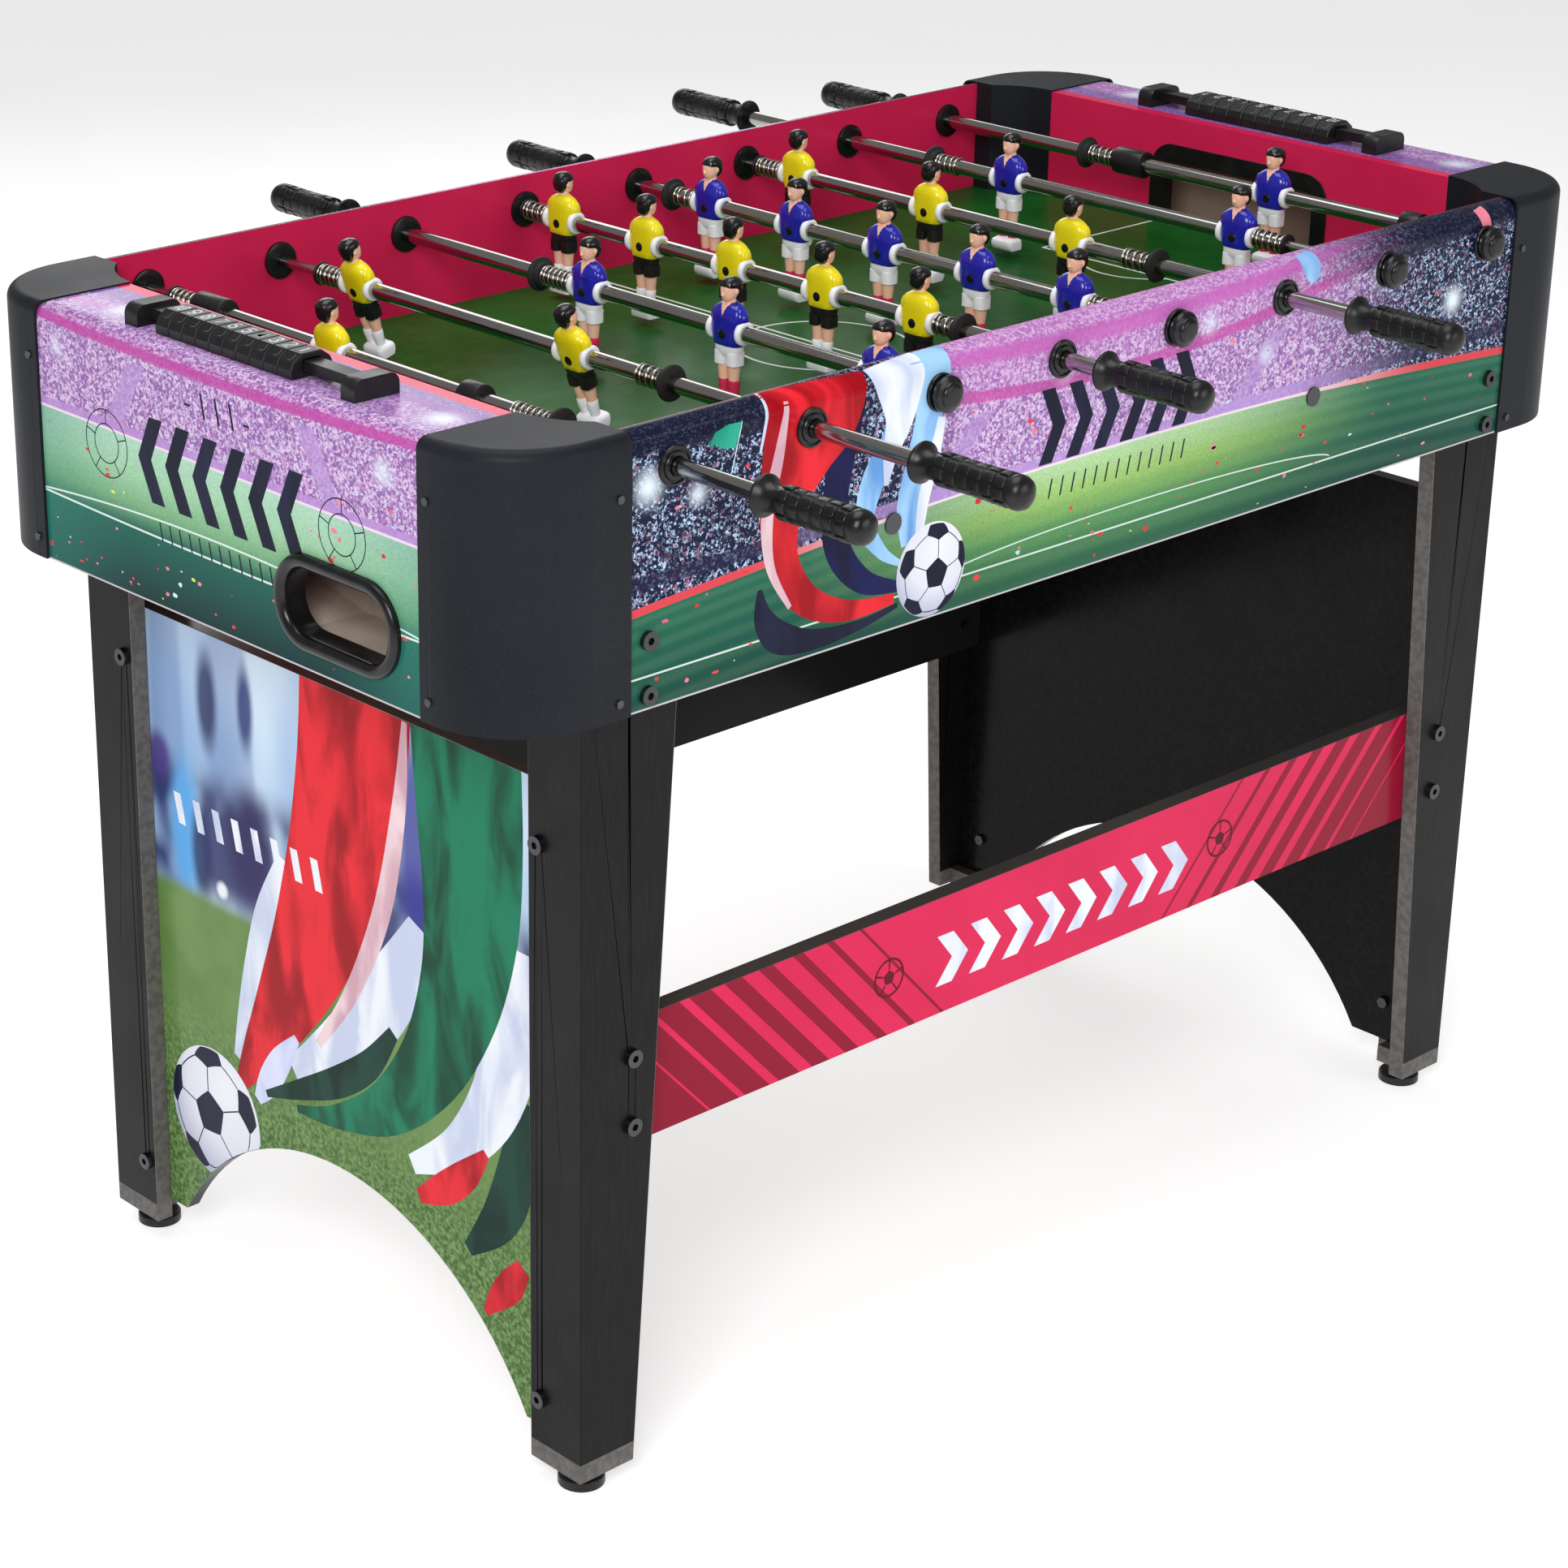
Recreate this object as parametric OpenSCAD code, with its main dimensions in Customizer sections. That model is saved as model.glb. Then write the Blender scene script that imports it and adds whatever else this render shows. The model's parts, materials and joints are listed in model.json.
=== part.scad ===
// Foosball table: a box cabinet on four L-shaped legs, with eight telescopic player rods.
// Millimetres. X runs along the table, Y across it, Z up. The origin is on the floor, under the middle.
// The front long side faces -Y and the left end faces -X.

/* [Cabinet] */
// Length over the two end panels
table_l = 1210; // [1206:1:1240]
// Width over the two side panels
table_w = 622; // [618:1:640]
// Height of the top edge above the floor
table_h = 828; // [820:1:850]
// Height of the apron panels
apron_h = 200; // [196:1:204]
// Thickness of the apron panels
panel_t = 16; // [15:0.5:17]
// Radius of the outer top edges
edge_r = 15; // [8:1:15]
// Thickness of the two goal walls
goal_wall_t = 12; // [10:1:14]
// Distance from an end panel's outer face to the goal wall's inner face
shelf_w = 85; // [82:1:86]
// Outer radius of the cabinet corners
corner_r = 75; // [65:1:78]

/* [Corner caps] */
// How far a cap covers the long side
cap_along_x = 110; // [105:1:120]
// How far a cap covers the end
cap_along_y = 87; // [84:1:92]
// Wall thickness of a cap
cap_t = 2.5; // [2:0.25:3]
// Rounding of a cap's top edge
cap_edge_r = 9; // [6:1:12]
// Radius of the hollow inner corner of the playing space
inner_corner_r = 76; // [70:1:80]

/* [Playfield] */
// Height of the playing surface above the floor
field_z = 730.5; // [729:0.5:731]
// Thickness of the playfield board
field_t = 5; // [4:0.5:6]
// Width of a goal mouth
goal_w = 168; // [150:2:174]
// Height of a goal mouth
goal_h = 58; // [50:1:60]
// Width of the black goal bezel
goal_band = 16; // [12:1:18]

/* [Legs and boards] */
// Thickness of the leg boards
leg_t = 15; // [14:0.5:16]
// Width of the tapered leg board at the cabinet
leg_top_w = 90; // [80:1:96]
// Width of the tapered leg board at the floor
leg_foot_w = 53; // [48:1:60]
// Width of the straight leg board
leg_end_w = 56; // [52:1:60]
// Height of the leg ends above the floor
leg_z = 17; // [16:1:24]
// Distance from an end panel's outer face to the leg's outer face
leg_inset = 80.75; // [80.5:0.25:82]
// Height of the bottom edge of the end boards
end_board_z = 34; // [32:1:40]
// Height of the top edge of the end boards
end_board_top = 561.5; // [540:0.5:580]
// Thickness of the end boards
end_board_t = 12; // [10:1:14]
// Radius of the arch cut in the end boards
arch_r = 253; // [245:1:255]
// Height of the top of that arch
arch_top = 157; // [140:1:170]
// Height of the bottom edge of the stretchers
stretcher_z = 275; // [265:1:285]
// Height of a stretcher
stretcher_h = 100; // [90:1:110]
// Thickness of the stretchers
stretcher_t = 15; // [14:0.5:16]

/* [Rods] */
// Distance between neighbouring rods
rod_pitch = 130; // [129.5:0.1:130]
// Height of the rod axes above the floor
rod_z = 799; // [798:0.5:800]
// Outer diameter of the sliding tubes
tube_d = 12.7; // [12.5:0.1:13]
// Bore of the sliding tubes
tube_bore = 9.7; // [9.5:0.1:10]
// Diameter of the fixed inner rods
core_d = 8; // [7:0.1:9]
// Diameter of the bearing flanges
flange_d = 30; // [27:1:32]
// Total height of a player's head above the rod
head_up = 41; // [40:0.5:42]
// Distance from the rod axis to a player's sole
foot_down = 62; // [60:0.5:62]
// Length of a player's hub along the rod
hub_l = 36; // [34:0.5:36]
// Length from a handle's flange to its end
handle_l = 95; // [90:1:98]
// Largest diameter of a handle's grip
grip_d = 25; // [24:0.5:27]

/* [Scorers] */
// Number of beads on a scorer
bead_n = 10; // [10:1:10]
// Length of one bead along the rail
bead_l = 16.1; // [15:0.1:16.4]
// Width of a bead
bead_w = 37.5; // [34:0.5:39.5]
// Height of a bead
bead_h = 17; // [16.5:0.5:20]
// Distance between the inner faces of the two brackets
rail_free = 238; // [236:1:244]

/* [Hidden] */
$fn = 48;

// Cut margin, so that a cutting shape passes both faces
past = 1;
// Gap between a bolt or bearing and the hole it stands in
hole_gap = 0.1;
// Running clearance of a shaft in its bore, on the radius
run_gap = 0.05;

hx = table_l / 2;
hy = table_w / 2;
apron_z = table_h - apron_h;
side_in = hy - panel_t;
wall_in = hx - shelf_w;
wall_out = wall_in + goal_wall_t;
field_bottom = field_z - field_t;
leg_top = field_bottom - 20.5;
leg_x = hx - leg_inset;
board_x = leg_x - leg_t;
board_y = side_in - leg_t;

// Rods from the left end: side of the handle (-1 front), men, slide of the men's middle, lean
rod_n = 8;
handle_side = [-1, -1, 1, -1, 1, -1, 1, 1];
men_n = [1, 2, 3, 5, 5, 3, 2, 1];
men_mid = [59, 63, -93, 39, -3, 69, -31, -90];
men_lean = [8, 17, 0, 0, 0, 0, 0, 0];
men_step = [0, 0, 255, 159.5, 0, 102.7];
// Thin end of each tube, and the middle of each handle's flange
thin_end = [258, 240, -291.5, 291.5, -248, 277.5, -211, -282];
flange_y = [-401, -419.5, 373, -356, 367, -383, 429, 359];
// Springs, rubber washers and stop collars of each rod, as stretches along Y
springs = [
    [[224, 256], [-190, -148]], [[210, 238], [-162, -136]], [[85, 118], [-289.5, -271.5]],
    [[263.5, 289.5], [-206, -185.5]], [[221, 243], [-246, -227.5]], [[247.5, 275.5], [-176, -149]],
    [[156, 181], [-209, -177.5]], [[88, 115], [-280, -248]]
];
washers = [[-205, -190], [-178, -162], [118, 133], [-221, -206], [243, 260], [-193, -176], [181, 201],
    [115, 122.5]];
collars = [[[190, 224], [-113, -94]], [], [], [], [], [], [], [[52, 84], [-248, -230]]];
washer_d = 29;
collar_d = 24;
core_reach = 215;
core_end = hy + 9;

// Colours
crimson = [0.78, 0.09, 0.28];
lilac = [0.72, 0.60, 0.82];
turf = [0.16, 0.38, 0.16];
charcoal = [0.18, 0.19, 0.22];
black = [0.05, 0.05, 0.06];
steel = [0.78, 0.78, 0.80];
fibre = [0.45, 0.32, 0.22];
sky = [0.55, 0.66, 0.86];

function rod_x(k) = rod_pitch * (k - (rod_n - 1) / 2);

function man_y(k, i) = men_mid[k] + men_step[men_n[k]] * (i - (men_n[k] - 1) / 2);

// ---- shared shapes ----

// A plate standing across X: the outline's x runs along Y and its y runs up
module across_x(x, t) {
    translate([x, 0, 0]) rotate([90, 0, 90]) linear_extrude(t) children();
}

// A plate standing across Y: the outline's x runs along X and its y runs up
module across_y(y, t) {
    translate([0, y + t, 0]) rotate([90, 0, 0]) linear_extrude(t) children();
}

// A cylinder from y0 to y1
module rod_along(y0, y1, d) {
    translate([0, min(y0, y1), 0]) rotate([-90, 0, 0]) cylinder(h = abs(y1 - y0), d = d);
}

module ring_along(y0, y1, d, bore) {
    difference() {
        rod_along(y0, y1, d);
        rod_along(min(y0, y1) - past, max(y0, y1) + past, bore);
    }
}

module slab(x0, x1, y0, y1, z0, z1) {
    translate([x0, y0, z0]) cube([x1 - x0, y1 - y0, z1 - z0]);
}

module rounded_rect(w, h, r) {
    square([w - 2 * r, h], center = true);
    square([w, h - 2 * r], center = true);
    for (sx = [-1, 1], sy = [-1, 1]) translate([sx * (w / 2 - r), sy * (h / 2 - r)]) circle(r);
}

// Upright rectangle from 0 to w and 0 to h with its far top corner rounded
module edge_profile(w, h, r) {
    intersection() {
        square([w, h]);
        union() {
            square([w - r, h]);
            square([w, h - r]);
            translate([w - r, h - r]) circle(r);
        }
    }
}

module four_corners() {
    children();
    mirror([1, 0, 0]) children();
    mirror([0, 1, 0]) children();
    mirror([1, 0, 0]) mirror([0, 1, 0]) children();
}

module both_ends() {
    children();
    rotate([0, 0, 180]) children();
}

// Everything inside the cabinet's plan, whose corners are cut in flats that stay inside the caps
module plan_block(z0, z1) {
    translate([0, 0, z0]) linear_extrude(z1 - z0) rounded_rect(table_l, table_w, corner_r, $fn = 12);
}

// ---- bolts ----

bolt_d = 6;
head_d = 14;
head_h = 4;
nut_d = 11;
nut_h = 4;
leg_bolt_x = 478;
leg_bolt_z = [639, 679];
board_bolt_y = 250;
board_bolt_z = [71, 521];
rail_bolt_x = 475;
rail_bolt_z = [300, 355];

// Button-head bolt with its head at the origin, its shank running along +Y, and a nut
module bolt(grip) {
    difference() {
        rod_along(-head_h, 0, head_d);
        rotate([90, 0, 0]) cylinder(h = head_h + past, d = 6, $fn = 6);
    }
    rod_along(-0.5, grip + nut_h, bolt_d);
    translate([0, grip, 0]) rotate([-90, 0, 0]) cylinder(h = nut_h, d = nut_d, $fn = 6);
}

module bolt_hole(depth) {
    rod_along(-past, depth + past, bolt_d + 2 * hole_gap);
}

// Children at the front left bolts through apron and leg, and at those through leg and stretcher
module at_leg_bolts() {
    for (z = leg_bolt_z) translate([-leg_bolt_x, -hy, z]) children();
}

module at_rail_bolts() {
    for (z = rail_bolt_z) translate([-rail_bolt_x, -side_in, z]) children();
}

module at_board_bolts() {
    for (z = board_bolt_z) translate([-leg_x, -board_bolt_y, z]) rotate([0, 0, -90]) children();
}

module frame_bolts() color(steel) four_corners() {
    at_leg_bolts() bolt(panel_t + leg_t);
    at_rail_bolts() bolt(leg_t + stretcher_t);
    at_board_bolts() bolt(leg_t + end_board_t);
}

// ---- screws that hold the corner caps ----

screw_d = 4;
screw_head_d = 6;
screw_l = 15;
end_screw_y = 233.5;
end_screw_z = [644, 787];
side_screw_x = 506;
side_screw_z = [640, 786];
plug_x = 240;
plug_z = 710;

module screw() {
    rod_along(-1.5, 0, screw_head_d);
    rod_along(-0.5, screw_l, screw_d);
}

module screw_hole() {
    rod_along(-past, screw_l + past, screw_d + 2 * hole_gap);
}

module at_side_screws() {
    for (z = side_screw_z) translate([-side_screw_x, -hy - cap_t, z]) children();
}

module at_end_screws() {
    for (z = end_screw_z) translate([-hx - cap_t, -end_screw_y, z]) rotate([0, 0, -90]) children();
}

module panel_screws() color(steel) {
    four_corners() {
        at_side_screws() screw();
        at_end_screws() screw();
    }
    for (s = [-1, 1]) translate([s * plug_x, -hy, plug_z]) rod_along(-1.5, 0, 16);
}

// ---- cabinet ----

bush_d = 24;

module side_panel() {
    panel_half = hx - corner_r + 26;
    difference() {
        intersection() {
            translate([-panel_half, -side_in, apron_z]) rotate([90, 0, 90])
                linear_extrude(2 * panel_half) mirror([1, 0]) edge_profile(panel_t, apron_h, edge_r);
            plan_block(apron_z - past, table_h + past);
        }
        for (k = [0:rod_n - 1]) translate([rod_x(k), -hy, rod_z])
            rod_along(-past, panel_t + past, bush_d + 2 * hole_gap);
        for (s = [0, 1]) mirror([s, 0, 0]) {
            at_leg_bolts() bolt_hole(panel_t);
            at_side_screws() screw_hole();
        }
    }
}

module front_side_panel() color(lilac) side_panel();

module rear_side_panel() color(lilac) mirror([0, 1, 0]) side_panel();

ring_y = -133;
ring_z = 679;
ring_w = 138;
ring_h = 72;
ring_r = 35;
ring_band = 11;
collar_wall = 4;

// Outer panel and top shelf of the left end, folded from one wrapped board
module end_panel() {
    panel_half = hy - corner_r + 26;
    difference() {
        intersection() {
            union() {
                translate([-wall_out, panel_half, apron_z]) rotate([90, 0, 0]) mirror([1, 0, 0])
                    linear_extrude(2 * panel_half) translate([hx - wall_out - panel_t, 0])
                        edge_profile(panel_t, apron_h, edge_r);
                slab(-hx + edge_r, -wall_out, -panel_half, panel_half, table_h - panel_t, table_h);
            }
            plan_block(apron_z - past, table_h + past);
        }
        across_x(-hx - past, panel_t + 2 * past) translate([ring_y, ring_z])
            rounded_rect(ring_w - 2 * (ring_band - collar_wall), ring_h - 2 * (ring_band - collar_wall),
                ring_r - ring_band + collar_wall);
        for (s = [0, 1]) mirror([0, s, 0]) at_end_screws() screw_hole();
    }
}

module left_end_panel() color(lilac) end_panel();

module right_end_panel() color(lilac) rotate([0, 0, 180]) end_panel();

module ball_return_rings() color(black) both_ends() {
    across_x(-hx - 6, 6) translate([ring_y, ring_z]) difference() {
        rounded_rect(ring_w, ring_h, ring_r);
        rounded_rect(ring_w - 2 * ring_band, ring_h - 2 * ring_band, ring_r - ring_band);
    }
    across_x(-hx, panel_t) translate([ring_y, ring_z]) difference() {
        rounded_rect(ring_w - 2 * (ring_band - collar_wall + hole_gap),
            ring_h - 2 * (ring_band - collar_wall + hole_gap), ring_r - ring_band + collar_wall);
        rounded_rect(ring_w - 2 * ring_band, ring_h - 2 * ring_band, ring_r - ring_band);
    }
}

// Outline with a flat bottom at 0 and two rounded top corners
module arch_top_rect(w, h, r) {
    translate([-w / 2, 0]) square([w, h - r]);
    translate([-w / 2 + r, 0]) square([w - 2 * r, h]);
    for (s = [-1, 1]) translate([s * (w / 2 - r), h - r]) circle(r);
}

goal_r = 24;
goal_lining = 3;

module goal_wall() {
    difference() {
        slab(-wall_out, -wall_in, -side_in, side_in, leg_top, table_h);
        across_x(-wall_out - past, goal_wall_t + 2 * past) translate([0, field_z])
            arch_top_rect(goal_w + 2 * goal_lining, goal_h + goal_lining, goal_r - goal_band + goal_lining);
    }
}

module left_goal_wall() color(crimson) goal_wall();

module right_goal_wall() color(crimson) rotate([0, 0, 180]) goal_wall();

// Bezel on the wall's inner face, with a lining through the wall
module goal_frames() color(black) both_ends() {
    across_x(-wall_in, 1.5) translate([0, field_z]) difference() {
        arch_top_rect(goal_w + 2 * goal_band, goal_h + goal_band, goal_r);
        translate([0, -past]) arch_top_rect(goal_w, goal_h + past, goal_r - goal_band);
    }
    across_x(-wall_out, goal_wall_t) translate([0, field_z]) difference() {
        arch_top_rect(goal_w + 2 * (goal_lining - hole_gap), goal_h + goal_lining - hole_gap,
            goal_r - goal_band + goal_lining);
        translate([0, -past]) arch_top_rect(goal_w, goal_h + past, goal_r - goal_band);
    }
}

module playfield() color(turf) slab(-wall_in, wall_in, -side_in, side_in, field_bottom, field_z);

batten = 18;

module playfield_battens() color(fibre) {
    for (s = [0, 1]) mirror([0, s, 0])
        slab(-wall_in, wall_in, -side_in, -side_in + batten, field_bottom - batten, field_bottom);
    for (s = [-1, 0, 1]) translate([s * (wall_in - batten / 2), 0, 0])
        slab(-batten / 2, batten / 2, -side_in + batten, side_in - batten,
            field_bottom - batten, field_bottom);
}

// Sloping chute that brings a ball from the goal mouth to the return hole
tray_back = 115;
tray_end = -200;
tray_low = ring_z - ring_h / 2 + ring_band - 7;
tray_high = tray_low + 38;
tray_t = 6;

module ball_trays() color(fibre) both_ends() {
    across_x(-hx + panel_t, shelf_w - panel_t - goal_wall_t) polygon([
        [tray_end, tray_low - tray_t], [-70, tray_low - tray_t], [tray_back, tray_high - tray_t],
        [tray_back, leg_top], [tray_back - tray_t, leg_top], [tray_back - tray_t, tray_high],
        [-70, tray_low], [tray_end + tray_t, tray_low], [tray_end + tray_t, leg_top], [tray_end, leg_top]
    ]);
    across_x(-wall_out, tray_t) polygon([
        [tray_end, tray_low - tray_t], [-70, tray_low - tray_t], [tray_back, tray_high - tray_t],
        [tray_back, leg_top], [tray_end, leg_top]
    ]);
}

// ---- corner caps ----

// Solid corner of the cabinet's plan, grown by a margin, with a rounded top edge
module corner_block(grow, top, r) {
    reach = corner_r + grow;
    translate([-hx + corner_r, -hy + corner_r, apron_z]) {
        rotate([0, 0, 180]) rotate_extrude(angle = 90) edge_profile(reach, top - apron_z, r);
        rotate([90, 0, 90]) linear_extrude(cap_along_x - corner_r) mirror([1, 0])
            edge_profile(reach, top - apron_z, r);
        rotate([0, 0, -90]) mirror([1, 0, 0]) rotate([90, 0, 90])
            linear_extrude(cap_along_y - corner_r) mirror([1, 0]) edge_profile(reach, top - apron_z, r);
        cube([cap_along_x - corner_r, cap_along_y - corner_r, top - apron_z]);
    }
}

cap_top_t = 1.5;
inner_x = -wall_in + inner_corner_r;
inner_y = -hy + cap_along_y + 4;
inner_wall_t = 3;

module inner_arc(r, z0, z1) {
    translate([inner_x, inner_y, z0]) cylinder(h = z1 - z0, r = r, $fn = 96);
}

module corner_cap() {
    cap_edge_x = -hx + cap_along_x;
    difference() {
        corner_block(cap_t, table_h + cap_top_t, cap_edge_r);
        translate([0, 0, -past]) corner_block(0, table_h + past, cap_edge_r - cap_t);
        inner_arc(inner_corner_r, apron_z - past, table_h + 2 * cap_top_t);
        slab(-wall_in, cap_edge_x + past, -side_in, inner_y + past, apron_z - past, table_h - past);
        at_side_screws() screw_hole();
        at_end_screws() screw_hole();
    }
    difference() {
        intersection() {
            inner_arc(inner_corner_r + inner_wall_t, field_z, table_h + cap_top_t);
            slab(-wall_in, cap_edge_x, -side_in, -hy + cap_along_y, field_z, table_h + cap_top_t);
        }
        inner_arc(inner_corner_r, field_z - past, table_h + 2 * cap_top_t);
    }
    difference() {
        slab(cap_edge_x - inner_wall_t, cap_edge_x, -side_in, inner_y - inner_corner_r / 2, field_z,
            table_h + cap_top_t);
        inner_arc(inner_corner_r + inner_wall_t / 2, field_z - past, table_h + 2 * cap_top_t);
    }
}

module corner_caps() color(charcoal) four_corners() corner_cap();

// ---- legs, feet and boards ----

shoe_top = end_board_z - past;
foot_x = 501;
foot_y = 270;

module front_left_leg_shape() {
    difference() {
        union() {
            across_y(-side_in, leg_t) polygon([
                [-leg_x, leg_z], [-leg_x + leg_foot_w, leg_z], [-leg_x + leg_top_w, apron_z],
                [-leg_x + leg_top_w, leg_top], [-leg_x, leg_top]
            ]);
            slab(-leg_x, -board_x, -board_y, -side_in + leg_end_w, leg_z, leg_top);
            slab(-board_x, -foot_x + 15, -board_y, -foot_y + 15, leg_z, shoe_top);
        }
        at_leg_bolts() bolt_hole(panel_t + leg_t);
        at_rail_bolts() bolt_hole(leg_t);
        at_board_bolts() bolt_hole(leg_t);
    }
}

module front_left_leg() color(black) front_left_leg_shape();

module rear_left_leg() color(black) mirror([0, 1, 0]) front_left_leg_shape();

module front_right_leg() color(black) mirror([1, 0, 0]) front_left_leg_shape();

module rear_right_leg() color(black) mirror([1, 0, 0]) mirror([0, 1, 0]) front_left_leg_shape();

foot_d = 36;
foot_h = 8;

module leveller_feet() color(black) four_corners() translate([-foot_x, -foot_y, 0]) {
    rotate_extrude() edge_profile(foot_d / 2, foot_h, 2);
    translate([0, 0, foot_h]) cylinder(h = leg_z - foot_h, d = 8);
}

module end_board() {
    difference() {
        slab(-board_x, -board_x + end_board_t, -board_y, board_y, end_board_z, end_board_top);
        across_x(-board_x - past, end_board_t + 2 * past) translate([0, arch_top - arch_r])
            circle(arch_r, $fn = 128);
        for (s = [0, 1]) mirror([0, s, 0]) at_board_bolts() bolt_hole(leg_t + end_board_t);
    }
}

module end_boards() color(sky) both_ends() end_board();

module stretcher() {
    reach = board_x - end_board_t;
    difference() {
        slab(-reach, reach, -board_y, -board_y + stretcher_t, stretcher_z, stretcher_z + stretcher_h);
        for (s = [0, 1]) mirror([s, 0, 0]) at_rail_bolts() bolt_hole(leg_t + stretcher_t);
    }
}

module front_stretcher() color(crimson) stretcher();

module rear_stretcher() color(crimson) mirror([0, 1, 0]) stretcher();

// ---- scorers ----

bracket_t = 15.5;
bracket_w = 39.5;
bracket_h = 16;
bracket_r = 8;
rail_w = 14;
rail_h = 8;
rail_z = table_h + 4.5;
left_score_x = 37 - hx;
right_score_x = hx - 48;
left_pack_y = 18;
right_pack_y = 0;

// Flat-bottomed outline with a narrow top and sloping shoulders
module bead_outline(w, h) {
    polygon([[-w / 2, 0], [w / 2, 0], [w / 2, h * 0.38], [w * 0.44, h * 0.68], [w * 0.24, h], [-w * 0.24, h],
        [-w * 0.44, h * 0.68], [-w / 2, h * 0.38]]);
}

module scorer_rail(x) translate([x, 0, 0]) {
    slab(-rail_w / 2, rail_w / 2, -rail_free / 2 - past, rail_free / 2 + past, rail_z, rail_z + rail_h);
    for (s = [0, 1]) mirror([0, s, 0]) translate([0, 0, table_h])
        across_y(rail_free / 2, bracket_t) arch_top_rect(bracket_w, bracket_h, bracket_r);
}

module score_rails() color(black) {
    scorer_rail(left_score_x);
    scorer_rail(right_score_x);
}

module bead_pack(x, y_mid) {
    for (i = [0:bead_n - 1]) translate([x, y_mid + bead_l * (i - bead_n / 2), table_h + 0.5]) difference() {
        across_y(0.1, bead_l - 0.2) bead_outline(bead_w, bead_h);
        slab(-rail_w / 2 - 0.3, rail_w / 2 + 0.3, -past, bead_l + past, rail_z - table_h - 0.8,
            rail_z - table_h + rail_h - 0.2);
    }
}

module left_score_beads() color(black) bead_pack(left_score_x, left_pack_y);

module right_score_beads() color(black) bead_pack(right_score_x, right_pack_y);

// ---- rods ----

module at_rod(k) {
    translate([rod_x(k), 0, rod_z]) children();
}

bush_flange_t = 3;
rim_h = 1;

// Flanged bearing through the side panel on side s, with a bore for the tube or for the inner rod
module bushing(s, bore) {
    ring_along(s * (side_in - bush_flange_t), s * side_in, flange_d, bore);
    ring_along(s * side_in, s * hy, bush_d, bore);
    ring_along(s * hy, s * (hy + bush_flange_t), flange_d - 1, bore);
    ring_along(s * (hy + bush_flange_t), s * (hy + bush_flange_t + rim_h), bush_d, bush_d - 5);
}

module rod_bushings() color(black) for (k = [0:rod_n - 1]) at_rod(k) {
    bushing(handle_side[k], tube_d + 2 * run_gap);
    bushing(-handle_side[k], core_d + 2 * run_gap);
}

dome_y = hy + bush_flange_t;

module rod_end_domes() color(black) for (k = [0:rod_n - 1]) at_rod(k)
    rotate([0, 0, 90 + 90 * handle_side[k]]) translate([0, dome_y, 0]) rotate([-90, 0, 0]) difference() {
        rotate_extrude() {
            square([9, 3]);
            translate([0, 3]) edge_profile(14, 5, 2);
            translate([0, 8]) edge_profile(10, 4, 3);
        }
        translate([0, 0, -past]) cylinder(h = core_end - dome_y + past, d = core_d + 2 * run_gap);
    }

module inner_rods() color(steel) for (k = [0:rod_n - 1]) at_rod(k)
    rod_along(-handle_side[k] * core_end, handle_side[k] * core_reach, core_d);

plug_l = 12;
lip_l = 2;
lip_d = 19;
tube_in_grip = 80;

// Chromed tube with the guide plug and lip at its thin end
module rod_tube(k) color(steel) at_rod(k) {
    s = handle_side[k];
    end = flange_y[k] + s * tube_in_grip;
    ring_along(thin_end[k] + s * lip_l, end, tube_d, tube_bore);
    ring_along(thin_end[k] + s * lip_l, thin_end[k] + s * (lip_l + plug_l), tube_bore + 1,
        core_d + 2 * run_gap);
    ring_along(thin_end[k], thin_end[k] + s * lip_l, lip_d, core_d + 2 * run_gap);
}

module rod_springs(k) color(steel) at_rod(k) {
    for (w = springs[k]) coil_sleeve(w[0], w[1]);
    ring_along(washers[k][0], washers[k][1], washer_d, tube_d + 2 * run_gap);
    for (c = collars[k]) ring_along(c[0], c[1], collar_d, tube_d + 2 * run_gap);
}

wire_d = 1.8;
coil_pitch = 3.2;

// Coil spring as a thin sleeve with one ring per turn
module coil_sleeve(y0, y1) {
    r_in = tube_d / 2 + 0.3;
    turns = floor((y1 - y0 - wire_d) / coil_pitch);
    step = (y1 - y0 - wire_d) / turns;
    translate([0, y0, 0]) rotate([-90, 0, 0]) rotate_extrude() {
        translate([r_in, wire_d / 2]) square([wire_d / 2, y1 - y0 - wire_d]);
        for (i = [0:turns]) translate([r_in + wire_d / 2, wire_d / 2 + i * step])
            circle(wire_d / 2, $fn = 24);
    }
}

// Handle profile: flange cup, neck and rounded grip, measured from the flange's middle
module handle(k) color(black) at_rod(k) translate([0, flange_y[k], 0])
    rotate([0, 0, 90 - 90 * handle_side[k]]) rotate([-90, 0, 0]) difference() {
        rotate_extrude() {
            translate([0, -3]) square([15, 6]);
            square([9.5, 20]);
            translate([0, 14]) edge_profile(grip_d / 2 - 1.5, handle_l - 14, 9);
            for (i = [0:5]) translate([0, 22 + i * 11]) square([grip_d / 2, 8]);
        }
        translate([0, 0, -4]) cylinder(h = tube_in_grip + 4 + hole_gap, d = tube_d + 2 * run_gap);
    }

// ---- players ----

hub_d = 24;
torso_w = 34;
torso_t = 17;
foot_w = 24;

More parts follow.
